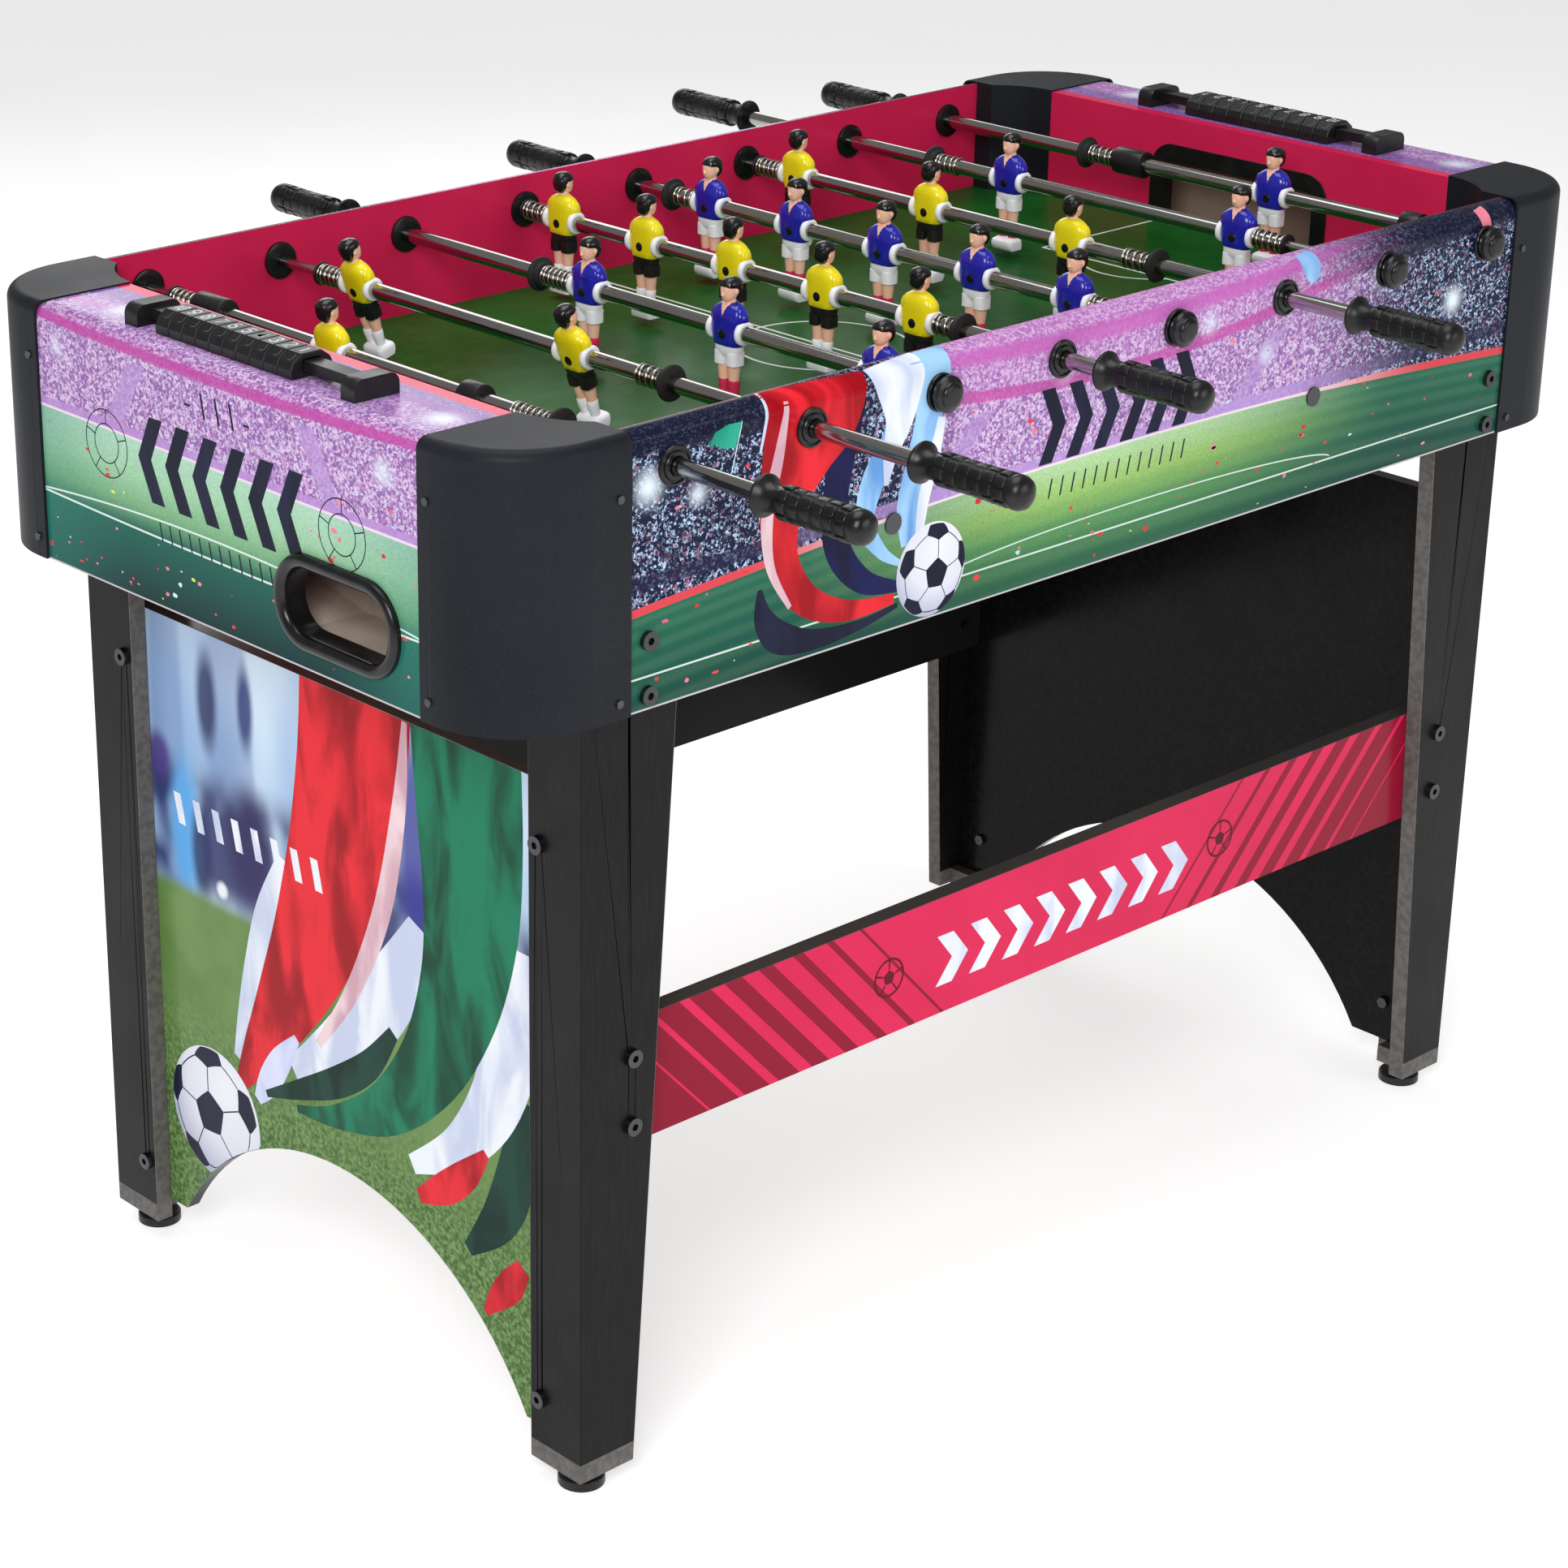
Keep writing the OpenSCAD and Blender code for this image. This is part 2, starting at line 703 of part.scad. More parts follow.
// A player on its own rod axis, facing +X
module player() {
    difference() {
        union() {
            rod_along(-hub_l / 2, hub_l / 2, hub_d);
            across_x(-torso_t / 2, torso_t) polygon([
                [-13, -12], [13, -12], [14, 0], [torso_w / 2, 9], [torso_w / 2 - 3, 18], [6, 22],
                [-6, 22], [-torso_w / 2 + 3, 18], [-torso_w / 2, 9], [-14, 0]
            ]);
            translate([0, 0, 18]) cylinder(h = 8, r = 4.5);
            translate([0, 0, head_up - 9.5]) sphere(9.5);
            across_x(-7.5, 15) polygon([[-13, -12], [13, -12], [12, -27], [-12, -27]]);
            for (s = [-1, 1]) translate([0, s * 5.5, -foot_down + 12])
                cylinder(h = foot_down - 36, r1 = 4, r2 = 5.5);
            translate([0, foot_w / 2, -foot_down]) rotate([90, 0, 0]) linear_extrude(foot_w)
                polygon([[-6, 0], [5, 0], [10, 3], [9, 11], [5, 19], [-5, 19], [-8, 3]]);
        }
        rod_along(-hub_l, hub_l, tube_d);
    }
}

module players(k, facing) color(facing > 0 ? [0.95, 0.85, 0.1] : [0.1, 0.15, 0.6]) at_rod(k)
    for (i = [0:men_n[k] - 1]) translate([0, man_y(k, i), 0]) rotate([0, -men_lean[k], 0])
        rotate([0, 0, facing > 0 ? 0 : 180]) player();

module rod_players(k) players(k, -handle_side[k]);

// ---- what is drawn ----

front_side_panel();
rear_side_panel();
left_end_panel();
right_end_panel();
left_goal_wall();
right_goal_wall();
playfield();
playfield_battens();
corner_caps();
front_left_leg();
rear_left_leg();
front_right_leg();
rear_right_leg();
leveller_feet();
end_boards();
front_stretcher();
rear_stretcher();
goal_frames();
ball_return_rings();
ball_trays();
score_rails();
left_score_beads();
right_score_beads();
frame_bolts();
panel_screws();
inner_rods();
rod_bushings();
rod_end_domes();
for (k = [0:rod_n - 1]) {
    rod_tube(k);
    rod_players(k);
    handle(k);
    rod_springs(k);
}
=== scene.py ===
import json
import math
import random

import bmesh
import bpy
from mathutils import Matrix, Vector


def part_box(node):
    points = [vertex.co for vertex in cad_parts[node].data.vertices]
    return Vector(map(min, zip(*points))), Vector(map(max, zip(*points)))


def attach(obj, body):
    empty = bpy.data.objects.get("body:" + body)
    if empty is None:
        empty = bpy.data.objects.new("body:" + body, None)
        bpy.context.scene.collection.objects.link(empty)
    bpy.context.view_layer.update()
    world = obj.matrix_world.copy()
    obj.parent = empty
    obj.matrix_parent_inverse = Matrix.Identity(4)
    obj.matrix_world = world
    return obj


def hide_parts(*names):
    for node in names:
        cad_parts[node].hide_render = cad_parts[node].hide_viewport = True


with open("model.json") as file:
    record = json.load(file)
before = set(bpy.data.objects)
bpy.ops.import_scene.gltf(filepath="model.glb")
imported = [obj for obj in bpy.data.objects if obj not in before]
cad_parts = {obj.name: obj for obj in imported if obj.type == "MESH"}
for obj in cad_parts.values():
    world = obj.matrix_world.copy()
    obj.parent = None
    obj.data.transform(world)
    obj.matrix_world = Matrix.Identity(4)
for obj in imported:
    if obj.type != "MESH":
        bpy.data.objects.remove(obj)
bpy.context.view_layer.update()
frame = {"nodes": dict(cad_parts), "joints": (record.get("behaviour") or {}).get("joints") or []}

# Foosball table: the looks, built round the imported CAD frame.
# Lengths are in metres; MM turns millimetres into metres.
MM = 0.001
TAU = 2 * math.pi
CABINET = "cabinet"
RODS = range(1, 9)


# ---- places, read from the frame ----

def solids(node):
    """(lowest corner, highest corner) of each separate solid in a CAD node."""
    bm = bmesh.new()
    bm.from_mesh(frame["nodes"][node].data)
    bmesh.ops.remove_doubles(bm, verts=bm.verts, dist=1e-6)
    seen, boxes = set(), []
    for start in bm.verts:
        if start in seen:
            continue
        group, stack = [], [start]
        seen.add(start)
        while stack:
            v = stack.pop()
            group.append(v.co.copy())
            for e in v.link_edges:
                w = e.other_vert(v)
                if w not in seen:
                    seen.add(w)
                    stack.append(w)
        boxes.append((Vector(min(c[i] for c in group) for i in range(3)),
                      Vector(max(c[i] for c in group) for i in range(3))))
    bm.free()
    return sorted(boxes, key=lambda b: (round(b[0].y, 4), round(b[0].x, 4), round(b[0].z, 4)))


def joint(name):
    return next(j for j in frame["joints"] if j["name"] == name)


def middle(a_box):
    return (Vector(a_box[0]) + Vector(a_box[1])) / 2


SIDE_LO, SIDE_HI = (Vector(c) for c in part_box("front_side_panel"))
END_LO, END_HI = (Vector(c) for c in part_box("left_end_panel"))
FIELD_HI = Vector(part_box("playfield")[1])
HALF_X = -END_LO.x
HALF_Y = -SIDE_LO.y
APRON_Z, TOP_Z = SIDE_LO.z, SIDE_HI.z
ROD_POS = {n: Vector(joint(f"rod{n}_turn")["pos_m"]) for n in RODS}
HANDLE_SIDE = {n: math.copysign(1, middle(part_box(f"rod{n}_handle")).y) for n in RODS}
MEN_LEAN = {1: math.radians(8), 2: math.radians(17)}


# ---- node materials ----

class Val:
    """One number in a node tree; arithmetic on it adds math nodes."""

    def __init__(self, net, socket):
        self.net, self.socket = net, socket

    def op(self, kind, *others, clamp=False):
        node = self.net.tree.nodes.new("ShaderNodeMath")
        node.operation = kind
        node.use_clamp = clamp
        for slot, item in zip(node.inputs, (self,) + others):
            if isinstance(item, Val):
                self.net.tree.links.new(item.socket, slot)
            else:
                slot.default_value = item
        return Val(self.net, node.outputs[0])

    def __add__(self, o):
        return self.op("ADD", o)

    def __sub__(self, o):
        return self.op("SUBTRACT", o)

    def __mul__(self, o):
        return self.op("MULTIPLY", o)

    def __truediv__(self, o):
        return self.op("DIVIDE", o)

    def __neg__(self):
        return self.op("MULTIPLY", -1.0)

    __radd__ = __add__
    __rmul__ = __mul__

    def rsub(self, a):
        return (-self) + a

    def abs(self):
        return self.op("ABSOLUTE")

    def max(self, o):
        return self.op("MAXIMUM", o)

    def min(self, o):
        return self.op("MINIMUM", o)

    def pow(self, o):
        return self.op("POWER", o)

    def sin(self):
        return self.op("SINE")

    def mod(self, o):
        return self.op("FLOORED_MODULO", o)

    def between(self, lo, hi, out_lo=0.0, out_hi=1.0, smooth=True):
        """0 below lo, 1 above hi, eased between them."""
        node = self.net.tree.nodes.new("ShaderNodeMapRange")
        node.interpolation_type = "SMOOTHSTEP" if smooth else "LINEAR"
        node.clamp = True
        self.net.tree.links.new(self.socket, node.inputs["Value"])
        for name, item in (("From Min", lo), ("From Max", hi), ("To Min", out_lo), ("To Max", out_hi)):
            if isinstance(item, Val):
                self.net.tree.links.new(item.socket, node.inputs[name])
            else:
                node.inputs[name].default_value = item
        return Val(self.net, node.outputs["Result"])

    def inside(self, lo, hi, soft):
        """1 between lo and hi, fading out over soft."""
        return self.between(lo - soft, lo + soft) * self.between(hi - soft, hi + soft, 1.0, 0.0)

    def line(self, at, half_width, soft):
        """1 on a line at that value."""
        return (self - at).abs().between(half_width - soft, half_width + soft, 1.0, 0.0)


class Net:
    """A node material under construction. Lengths in it are metres in the table's own frame."""

    def __init__(self, name):
        self.material = bpy.data.materials.new(name)
        self.material.use_nodes = True
        self.tree = self.material.node_tree
        self.tree.nodes.clear()
        self.shader = self.tree.nodes.new("ShaderNodeBsdfPrincipled")
        out = self.tree.nodes.new("ShaderNodeOutputMaterial")
        self.tree.links.new(self.shader.outputs[0], out.inputs["Surface"])
        coord = self.tree.nodes.new("ShaderNodeTexCoord")
        self.place = coord.outputs["Object"]
        split = self.tree.nodes.new("ShaderNodeSeparateXYZ")
        self.tree.links.new(self.place, split.inputs[0])
        self.x, self.y, self.z = (Val(self, s) for s in split.outputs)

    def point(self, x=0.0, y=0.0, z=0.0):
        node = self.tree.nodes.new("ShaderNodeCombineXYZ")
        for slot, item in zip(node.inputs, (x, y, z)):
            if isinstance(item, Val):
                self.tree.links.new(item.socket, slot)
            else:
                slot.default_value = item
        return node.outputs[0]

    def noise(self, scale, detail=3.0, rough=0.5, at=None, distort=0.0):
        node = self.tree.nodes.new("ShaderNodeTexNoise")
        self.tree.links.new(at or self.place, node.inputs["Vector"])
        node.inputs["Scale"].default_value = scale
        node.inputs["Detail"].default_value = detail
        node.inputs["Roughness"].default_value = rough
        node.inputs["Distortion"].default_value = distort
        return Val(self, node.outputs["Fac"])

    def cells(self, scale, at=None, feature="F1", jitter=1.0):
        """(distance to the cell's point, a random number for the cell)."""
        node = self.tree.nodes.new("ShaderNodeTexVoronoi")
        node.feature = feature
        self.tree.links.new(at or self.place, node.inputs["Vector"])
        node.inputs["Scale"].default_value = scale
        node.inputs["Randomness"].default_value = jitter
        split = self.tree.nodes.new("ShaderNodeSeparateColor")
        self.tree.links.new(node.outputs["Color"], split.inputs[0])
        return Val(self, node.outputs["Distance"]), Val(self, split.outputs[0]), Val(self, split.outputs[1])

    def mix(self, factor, a, b, kind="MIX"):
        """Colour a turning into b. A colour is a tuple or a socket."""
        node = self.tree.nodes.new("ShaderNodeMix")
        node.data_type = "RGBA"
        node.blend_type = kind
        for slot, item in ((node.inputs[0], factor), (node.inputs[6], a), (node.inputs[7], b)):
            if isinstance(item, Val):
                self.tree.links.new(item.socket, slot)
            elif isinstance(item, bpy.types.NodeSocket):
                self.tree.links.new(item, slot)
            elif isinstance(item, tuple):
                slot.default_value = (*item, 1.0)
            else:
                slot.default_value = item
        return node.outputs[2]

    def ramp(self, value, *stops):
        """A colour for each value: stops are (position, colour)."""
        node = self.tree.nodes.new("ShaderNodeValToRGB")
        self.tree.links.new(value.socket, node.inputs[0])
        keys = node.color_ramp.elements
        while len(keys) < len(stops):
            keys.new(1.0)
        for key, (position, colour) in zip(keys, stops):
            key.position = position
            key.color = (*colour, 1.0)
        return node.outputs[0]

    def finish(self, colour, roughness=0.5, bump=None, depth=0.0002, metallic=0.0, coat=0.0, coat_rough=0.1,
               specular=0.5):
        """Sets the shader's sockets and returns the material; bump is a height from 0 to 1 over depth."""
        s = self.shader.inputs
        if isinstance(colour, tuple):
            s["Base Color"].default_value = (*colour, 1.0)
        else:
            self.tree.links.new(colour, s["Base Color"])
        if isinstance(roughness, Val):
            self.tree.links.new(roughness.socket, s["Roughness"])
        else:
            s["Roughness"].default_value = roughness
        s["Metallic"].default_value = metallic
        s["Coat Weight"].default_value = coat
        s["Coat Roughness"].default_value = coat_rough
        s["Specular IOR Level"].default_value = specular
        if bump is not None:
            node = self.tree.nodes.new("ShaderNodeBump")
            node.inputs["Strength"].default_value = 1.0
            node.inputs["Distance"].default_value = depth
            self.tree.links.new(bump.socket, node.inputs["Height"])
            self.tree.links.new(node.outputs[0], s["Normal"])
        return self.material


def plastic(name, colour, rough, grain=900.0, depth=0.00004, worn=0.06, coat=0.0):
    """Moulded plastic: faint blotches of tone, a fine grain, and uneven gloss."""
    net = Net(name)
    blotch = net.noise(60.0, 4.0)
    lighter = tuple(min(1.0, c * (1 + 4 * worn) + worn * 0.08) for c in colour)
    tone = net.mix(blotch.between(0.35, 0.75), colour, lighter)
    gloss = net.noise(25.0, 5.0).between(0.3, 0.7, rough - 0.06, rough + 0.08)
    return net.finish(tone, gloss, bump=net.noise(grain, 2.0), depth=depth, coat=coat, specular=0.35)


def paint(name, colour, rough, **more):
    """Smooth paint of the moulded men."""
    return plastic(name, colour, rough, grain=260.0, depth=0.00003, **more)


def polished_metal(name, colour, rough, streaks=1400.0):
    """Chrome or drawn steel with fine rubbing marks along the rods."""
    net = Net(name)
    along = net.point(net.x * streaks, net.y * 30.0, net.z * streaks)
    mark = net.noise(1.0, 3.0, at=along)
    cloud = net.noise(18.0, 3.0)
    tone = net.mix(cloud.between(0.3, 0.7), colour, tuple(c * 0.9 for c in colour))
    gloss = (mark * 0.06 + cloud * 0.05) + (rough - 0.05)
    return net.finish(tone, gloss, bump=mark, depth=0.000006, metallic=1.0)


# Stadium print

NAVY = (0.006, 0.009, 0.038)
MAGENTA = (0.50, 0.075, 0.36)
PALE = (0.72, 0.60, 0.82)


def crowd(net, place, dark):
    """Speckled stands: dark navy where dark is 1, lilac where it is 0."""
    _, tone, hue = net.cells(430.0, at=place)
    _, fine, _ = net.cells(900.0, at=place)
    spark = (tone * 0.7 + fine * 0.5)
    bright = spark.between(0.35, 1.05)
    lilac = net.mix(bright, (0.27, 0.11, 0.38), PALE)
    lilac = net.mix(hue.between(0.8, 1.0) * 0.5, lilac, (0.85, 0.45, 0.70))
    night = net.mix(spark.between(0.66, 1.08), NAVY, (0.50, 0.66, 0.92))
    night = net.mix(hue.between(0.88, 1.0) * 0.6, night, (0.42, 0.16, 0.26))
    return net.mix(dark, lilac, night)


def flare(net, colour, u, v, at_u, at_v, radius, strength):
    """A floodlight's glow."""
    away = ((u - at_u) * (u - at_u) + (v - at_v) * (v - at_v)).pow(0.5)
    glow = away.between(0.0, radius, 1.0, 0.0).pow(2.2) * strength
    return net.mix(glow, colour, (0.80, 0.90, 1.0))


def turf_print(net, depth, mid):
    """Printed grass: depth is 0 at the touchline and 1 at the bottom edge; mid is 1 at the bright middle."""
    edge = net.ramp(depth, (0.0, (0.020, 0.150, 0.085)), (0.35, (0.010, 0.110, 0.070)),
                    (1.0, (0.003, 0.040, 0.036)))
    centre = net.ramp(depth, (0.0, (0.50, 0.74, 0.42)), (0.28, (0.34, 0.58, 0.15)),
                      (0.55, (0.10, 0.30, 0.10)), (1.0, (0.006, 0.080, 0.055)))
    grass = net.mix(mid, edge, centre)
    blades = net.noise(700.0, 3.0).between(0.3, 0.7)
    rows = ((depth.pow(0.7)) * 46.0).sin().between(-1.0, 1.0)
    grass = net.mix(blades * 0.22, grass, (0.0, 0.05, 0.03))
    return net.mix(rows * 0.04, grass, (0.5, 0.8, 0.4))


def long_print(net, u, v):
    """Print of a long side: u runs from the middle, v is the height, running on over the top."""
    flat = net.point(u, 0.0, v)
    ends = u.abs().between(0.17, 0.40)
    left = (-u).between(0.16, 0.24)
    dark = (u.between(0.20, 0.38)).max(left)
    stands = crowd(net, flat, dark)
    # Tiers, aisles and rims
    rim_low = v - (u * u * 0.35)
    rim_high = v - (u * u * 0.25)
    magenta_low = rim_low.inside(0.7745, 0.7835, 0.0012) * dark.rsub(1.0)
    magenta_high = rim_high.inside(0.8055, 0.8195, 0.003) * dark.rsub(1.0)
    pink_haze = v.between(0.76, 0.83) * dark.rsub(1.0) * 0.42
    stands = net.mix(pink_haze, stands, (0.62, 0.22, 0.56))
    stands = net.mix(magenta_low * 0.85, stands, MAGENTA)
    stands = net.mix(magenta_high * 0.85, stands, (0.54, 0.13, 0.48))
    aisle = ((u - (v - 0.75) * 0.9).abs() - 0.17).abs().between(0.010, 0.013, 1.0, 0.0)
    stands = net.mix(aisle * v.between(0.772, 0.776, 1.0, 0.0) * 0.65, stands, (0.42, 0.25, 0.58))
    roof = (v - 0.806 - (u.abs() - 0.38) * 0.05).between(-0.003, 0.003) * ends
    stands = net.mix(roof * 0.93, stands, (0.008, 0.010, 0.030))
    gutter = v.inside(0.716, 0.726, 0.001) * 0.8
    stands = net.mix(gutter, stands, net.mix(ends, (0.46, 0.30, 0.66), (0.012, 0.010, 0.05)))
    for at_u, at_v, radius, strength in ((-0.478, 0.788, 0.026, 1.0), (-0.432, 0.774, 0.018, 0.8),
                                         (0.418, 0.757, 0.024, 1.0), (0.32, 0.796, 0.022, 0.7),
                                         (0.177, 0.757, 0.02, 0.6), (0.105, 0.795, 0.022, 0.5),
                                         (-0.06, 0.790, 0.022, 0.45), (0.03, 0.765, 0.02, 0.4)):
        stands = flare(net, stands, u, v, at_u, at_v, radius, strength)
    # The touchline dips at both ends, red there and white in the middle
    touch = (u * u * -0.075) + 0.7185
    depth = (touch - v) * (1 / (0.7185 - 0.628))
    grass = turf_print(net, depth.max(0.0), u.abs().between(0.05, 0.36, 1.0, 0.0))
    colour = net.mix((v - touch).between(-0.0005, 0.0005), grass, stands)
    wide = ends * 0.0022 + 0.0009
    band = (v - touch).abs().between(wide - 0.0004, wide + 0.0004, 1.0, 0.0)
    colour = net.mix(band, colour, net.mix(ends, (0.86, 0.72, 0.78), (0.68, 0.06, 0.08)))
    halfway = v.line(0.6525, 0.0007, 0.0003)
    arc = (u - 0.035) * (1 / 0.235)
    bow = (arc * arc).rsub(1.0).max(0.0).pow(0.5) * 0.0150 + 0.6530
    box_line = (v - bow).abs().between(0.0003, 0.0008, 1.0, 0.0) * arc.abs().between(0.98, 1.0, 1.0, 0.0)
    return net.mix(halfway.max(box_line) * 0.8, colour, (0.80, 0.92, 0.86))


def end_print(net, u, v):
    """Print of an end: u runs along the end from its middle, v is the height, running on over the shelf."""
    flat = net.point(u, 0.0, v)
    stands = crowd(net, flat, v.between(0.868, 0.90) * 0.30)
    rim = v + (u * u * -0.14)
    stands = net.mix(rim.inside(0.8120, 0.8215, 0.0012) * 0.9, stands, MAGENTA)
    stands = net.mix(rim.inside(0.8215, 0.8290, 0.0008) * 0.25, stands, MAGENTA)
    stands = net.mix((v + u * 0.06).inside(0.8690, 0.8755, 0.0012) * 0.75, stands, (0.62, 0.16, 0.50))
    stands = net.mix(v.between(0.832, 0.850) * 0.35, stands, (0.36, 0.14, 0.46))
    stands = net.mix(v.between(0.874, 0.880) * 0.55, stands, (0.16, 0.07, 0.34))
    aisle = ((u.abs() - (v.rsub(0.76)) * 0.6) - 0.128).abs().between(0.009, 0.012, 1.0, 0.0)
    stands = net.mix(aisle * v.between(0.806, 0.809, 1.0, 0.0) * 0.7, stands, (0.46, 0.28, 0.62))
    stands = net.mix(v.inside(0.7515, 0.7580, 0.0007) * 0.85, stands, (0.46, 0.26, 0.62))
    for at_u, at_v, radius, strength in ((-0.185, 0.795, 0.022, 0.7), (0.165, 0.865, 0.03, 0.8),
                                         (-0.04, 0.862, 0.03, 0.7), (0.20, 0.80, 0.018, 0.5),
                                         (-0.20, 0.868, 0.03, 0.8), (0.09, 0.868, 0.02, 0.6)):
        stands = flare(net, stands, u, v, at_u, at_v, radius, strength)
    touch = 0.7510
    depth = (v.rsub(touch)) * (1 / (touch - 0.628))
    grass = net.ramp(depth.max(0.0), (0.0, (0.46, 0.72, 0.56)), (0.22, (0.38, 0.66, 0.42)),
                     (0.42, (0.20, 0.44, 0.22)), (0.56, (0.012, 0.125, 0.090)), (1.0, (0.002, 0.024, 0.032)))
    side = u.abs().between(0.10, 0.24) * 0.45
    grass = net.mix(side, grass, (0.03, 0.26, 0.20))
    blades = net.noise(700.0, 3.0).between(0.3, 0.7)
    grass = net.mix(blades * 0.20, grass, (0.0, 0.06, 0.04))
    colour = net.mix((v - touch).between(-0.0004, 0.0004), grass, stands)
    colour = net.mix(v.line(touch, 0.0010, 0.0004), colour, (0.82, 0.66, 0.80))
    halfway = (v - u * u * 0.05).line(0.6812, 0.0008, 0.0003)
    bow = (v + u * u * 0.22).line(0.6965, 0.0007, 0.0003)
    return net.mix(halfway.max(bow) * 0.85, colour, (0.80, 0.93, 0.90))


def wrapped(net, colour):
    """The wrap's satin film over board: faint orange peel and fine scuffs."""
    peel = net.noise(260.0, 3.0)
    gloss = net.noise(14.0, 4.0).between(0.3, 0.7, 0.17, 0.26)
    return net.finish(colour, gloss, bump=peel, depth=0.00003, specular=0.10)


CRIMSON = (0.72, 0.020, 0.095)
FIBRE = (0.24, 0.155, 0.098)


def crimson_tone(net):
    return net.mix(net.noise(9.0, 5.0).between(0.3, 0.75), CRIMSON, (0.64, 0.016, 0.085))


def side_panel_material(name):
    net = Net(name)
    out = net.y.abs()
    run_on = (out.rsub(HALF_Y)).max(0.0)
    colour = long_print(net, net.x, net.z + run_on)
    inside = out.between(0.2951, 0.2954, 1.0, 0.0)
    colour = net.mix(inside, colour, crimson_tone(net))
    bottom = net.z.between(APRON_Z + 0.0012, APRON_Z + 0.0016, 1.0, 0.0)
    colour = net.mix(bottom, colour, (0.55, 0.52, 0.55))
    return wrapped(net, colour)


def end_panel_material(name):
    net = Net(name)
    out = net.x.abs()
    run_on = (out.rsub(HALF_X)).max(0.0)
    colour = end_print(net, net.y, net.z + run_on)
    bottom = net.z.between(APRON_Z + 0.0012, APRON_Z + 0.0016, 1.0, 0.0)
    colour = net.mix(bottom, colour, (0.55, 0.52, 0.55))
    hidden = net.z.between(TOP_Z - 0.0162, TOP_Z - 0.0158, 1.0, 0.0) * out.between(0.5891, 0.5894, 1.0, 0.0)
    return wrapped(net, net.mix(hidden, colour, (0.40, 0.30, 0.23)))


def goal_wall_material():
    net = Net("goal wall crimson")
    behind = net.x.abs().between(0.5316, 0.5319) * net.z.between(TOP_Z - 0.0004, TOP_Z - 0.0002, 1.0, 0.0)
    return wrapped(net, net.mix(behind, crimson_tone(net), (0.40, 0.30, 0.23)))


def playfield_material():
    net = Net("playfield green")
    top = net.z.between(FIELD_HI.z - 0.0004, FIELD_HI.z - 0.0002)
    cloud = net.noise(5.0, 5.0)
    blotch = net.noise(60.0, 4.0)
    green = net.mix(cloud.between(0.35, 0.65), (0.006, 0.068, 0.010), (0.011, 0.104, 0.016))
    green = net.mix(blotch.between(0.4, 0.7) * 0.35, green, (0.017, 0.124, 0.023))
    half, soft = 0.0014, 0.0004
    ring = (net.x * net.x + net.y * net.y).pow(0.5).line(0.072, half, soft)
    middle_line = net.x.line(0.0, half, soft)
    spot = (net.x * net.x + net.y * net.y).pow(0.5).between(0.004, 0.005, 1.0, 0.0)
    box_x, box_y = 0.371, 0.095
    front = net.x.abs().line(box_x, half, soft) * net.y.abs().between(box_y, box_y + 0.001, 1.0, 0.0)
    sides = net.y.abs().line(box_y, half, soft) * net.x.abs().between(box_x - 0.001, box_x)
    from_spot = net.x.abs() - 0.398
    arc = (from_spot * from_spot + net.y * net.y).pow(0.5).line(0.055, half, soft)
    arc = arc * net.x.abs().between(box_x - 0.001, box_x, 1.0, 0.0)
    lines = ring.max(middle_line).max(spot).max(front).max(sides).max(arc)
    colour = net.mix(lines * 0.88, green, (0.76, 0.82, 0.78))
    colour = net.mix(top, FIBRE, colour)
    gloss = net.noise(11.0, 5.0).between(0.3, 0.7, 0.26, 0.40)
    return net.finish(colour, gloss, bump=net.noise(420.0, 3.0), depth=0.00003, specular=0.05)


def fibreboard_material(name="raw fibreboard", dark=FIBRE, light=(0.36, 0.25, 0.17)):
    net = Net(name)
    fleck = net.noise(700.0, 4.0, 0.7)
    cloud = net.noise(30.0, 3.0)
    tone = net.mix(fleck.between(0.35, 0.7), dark, light)
    tone = net.mix(cloud.between(0.35, 0.7) * 0.2, tone, (0.17, 0.11, 0.07))
    return net.finish(tone, 0.85, bump=fleck, depth=0.00015)


def cap_material():
    net = Net("textured cap plastic")
    pits = net.noise(1300.0, 2.0)
    cloud = net.noise(7.0, 4.0)
    tone = net.mix(cloud.between(0.3, 0.7), (0.0075, 0.009, 0.013), (0.012, 0.014, 0.019))
    tone = net.mix(pits.between(0.45, 0.75) * 0.4, tone, (0.032, 0.035, 0.044))
    gloss = cloud.between(0.3, 0.7, 0.40, 0.50)
    return net.finish(tone, gloss, bump=pits, depth=0.00010, specular=0.14)


BOARD_X = 0.50925
SHOE_TOP = 0.033


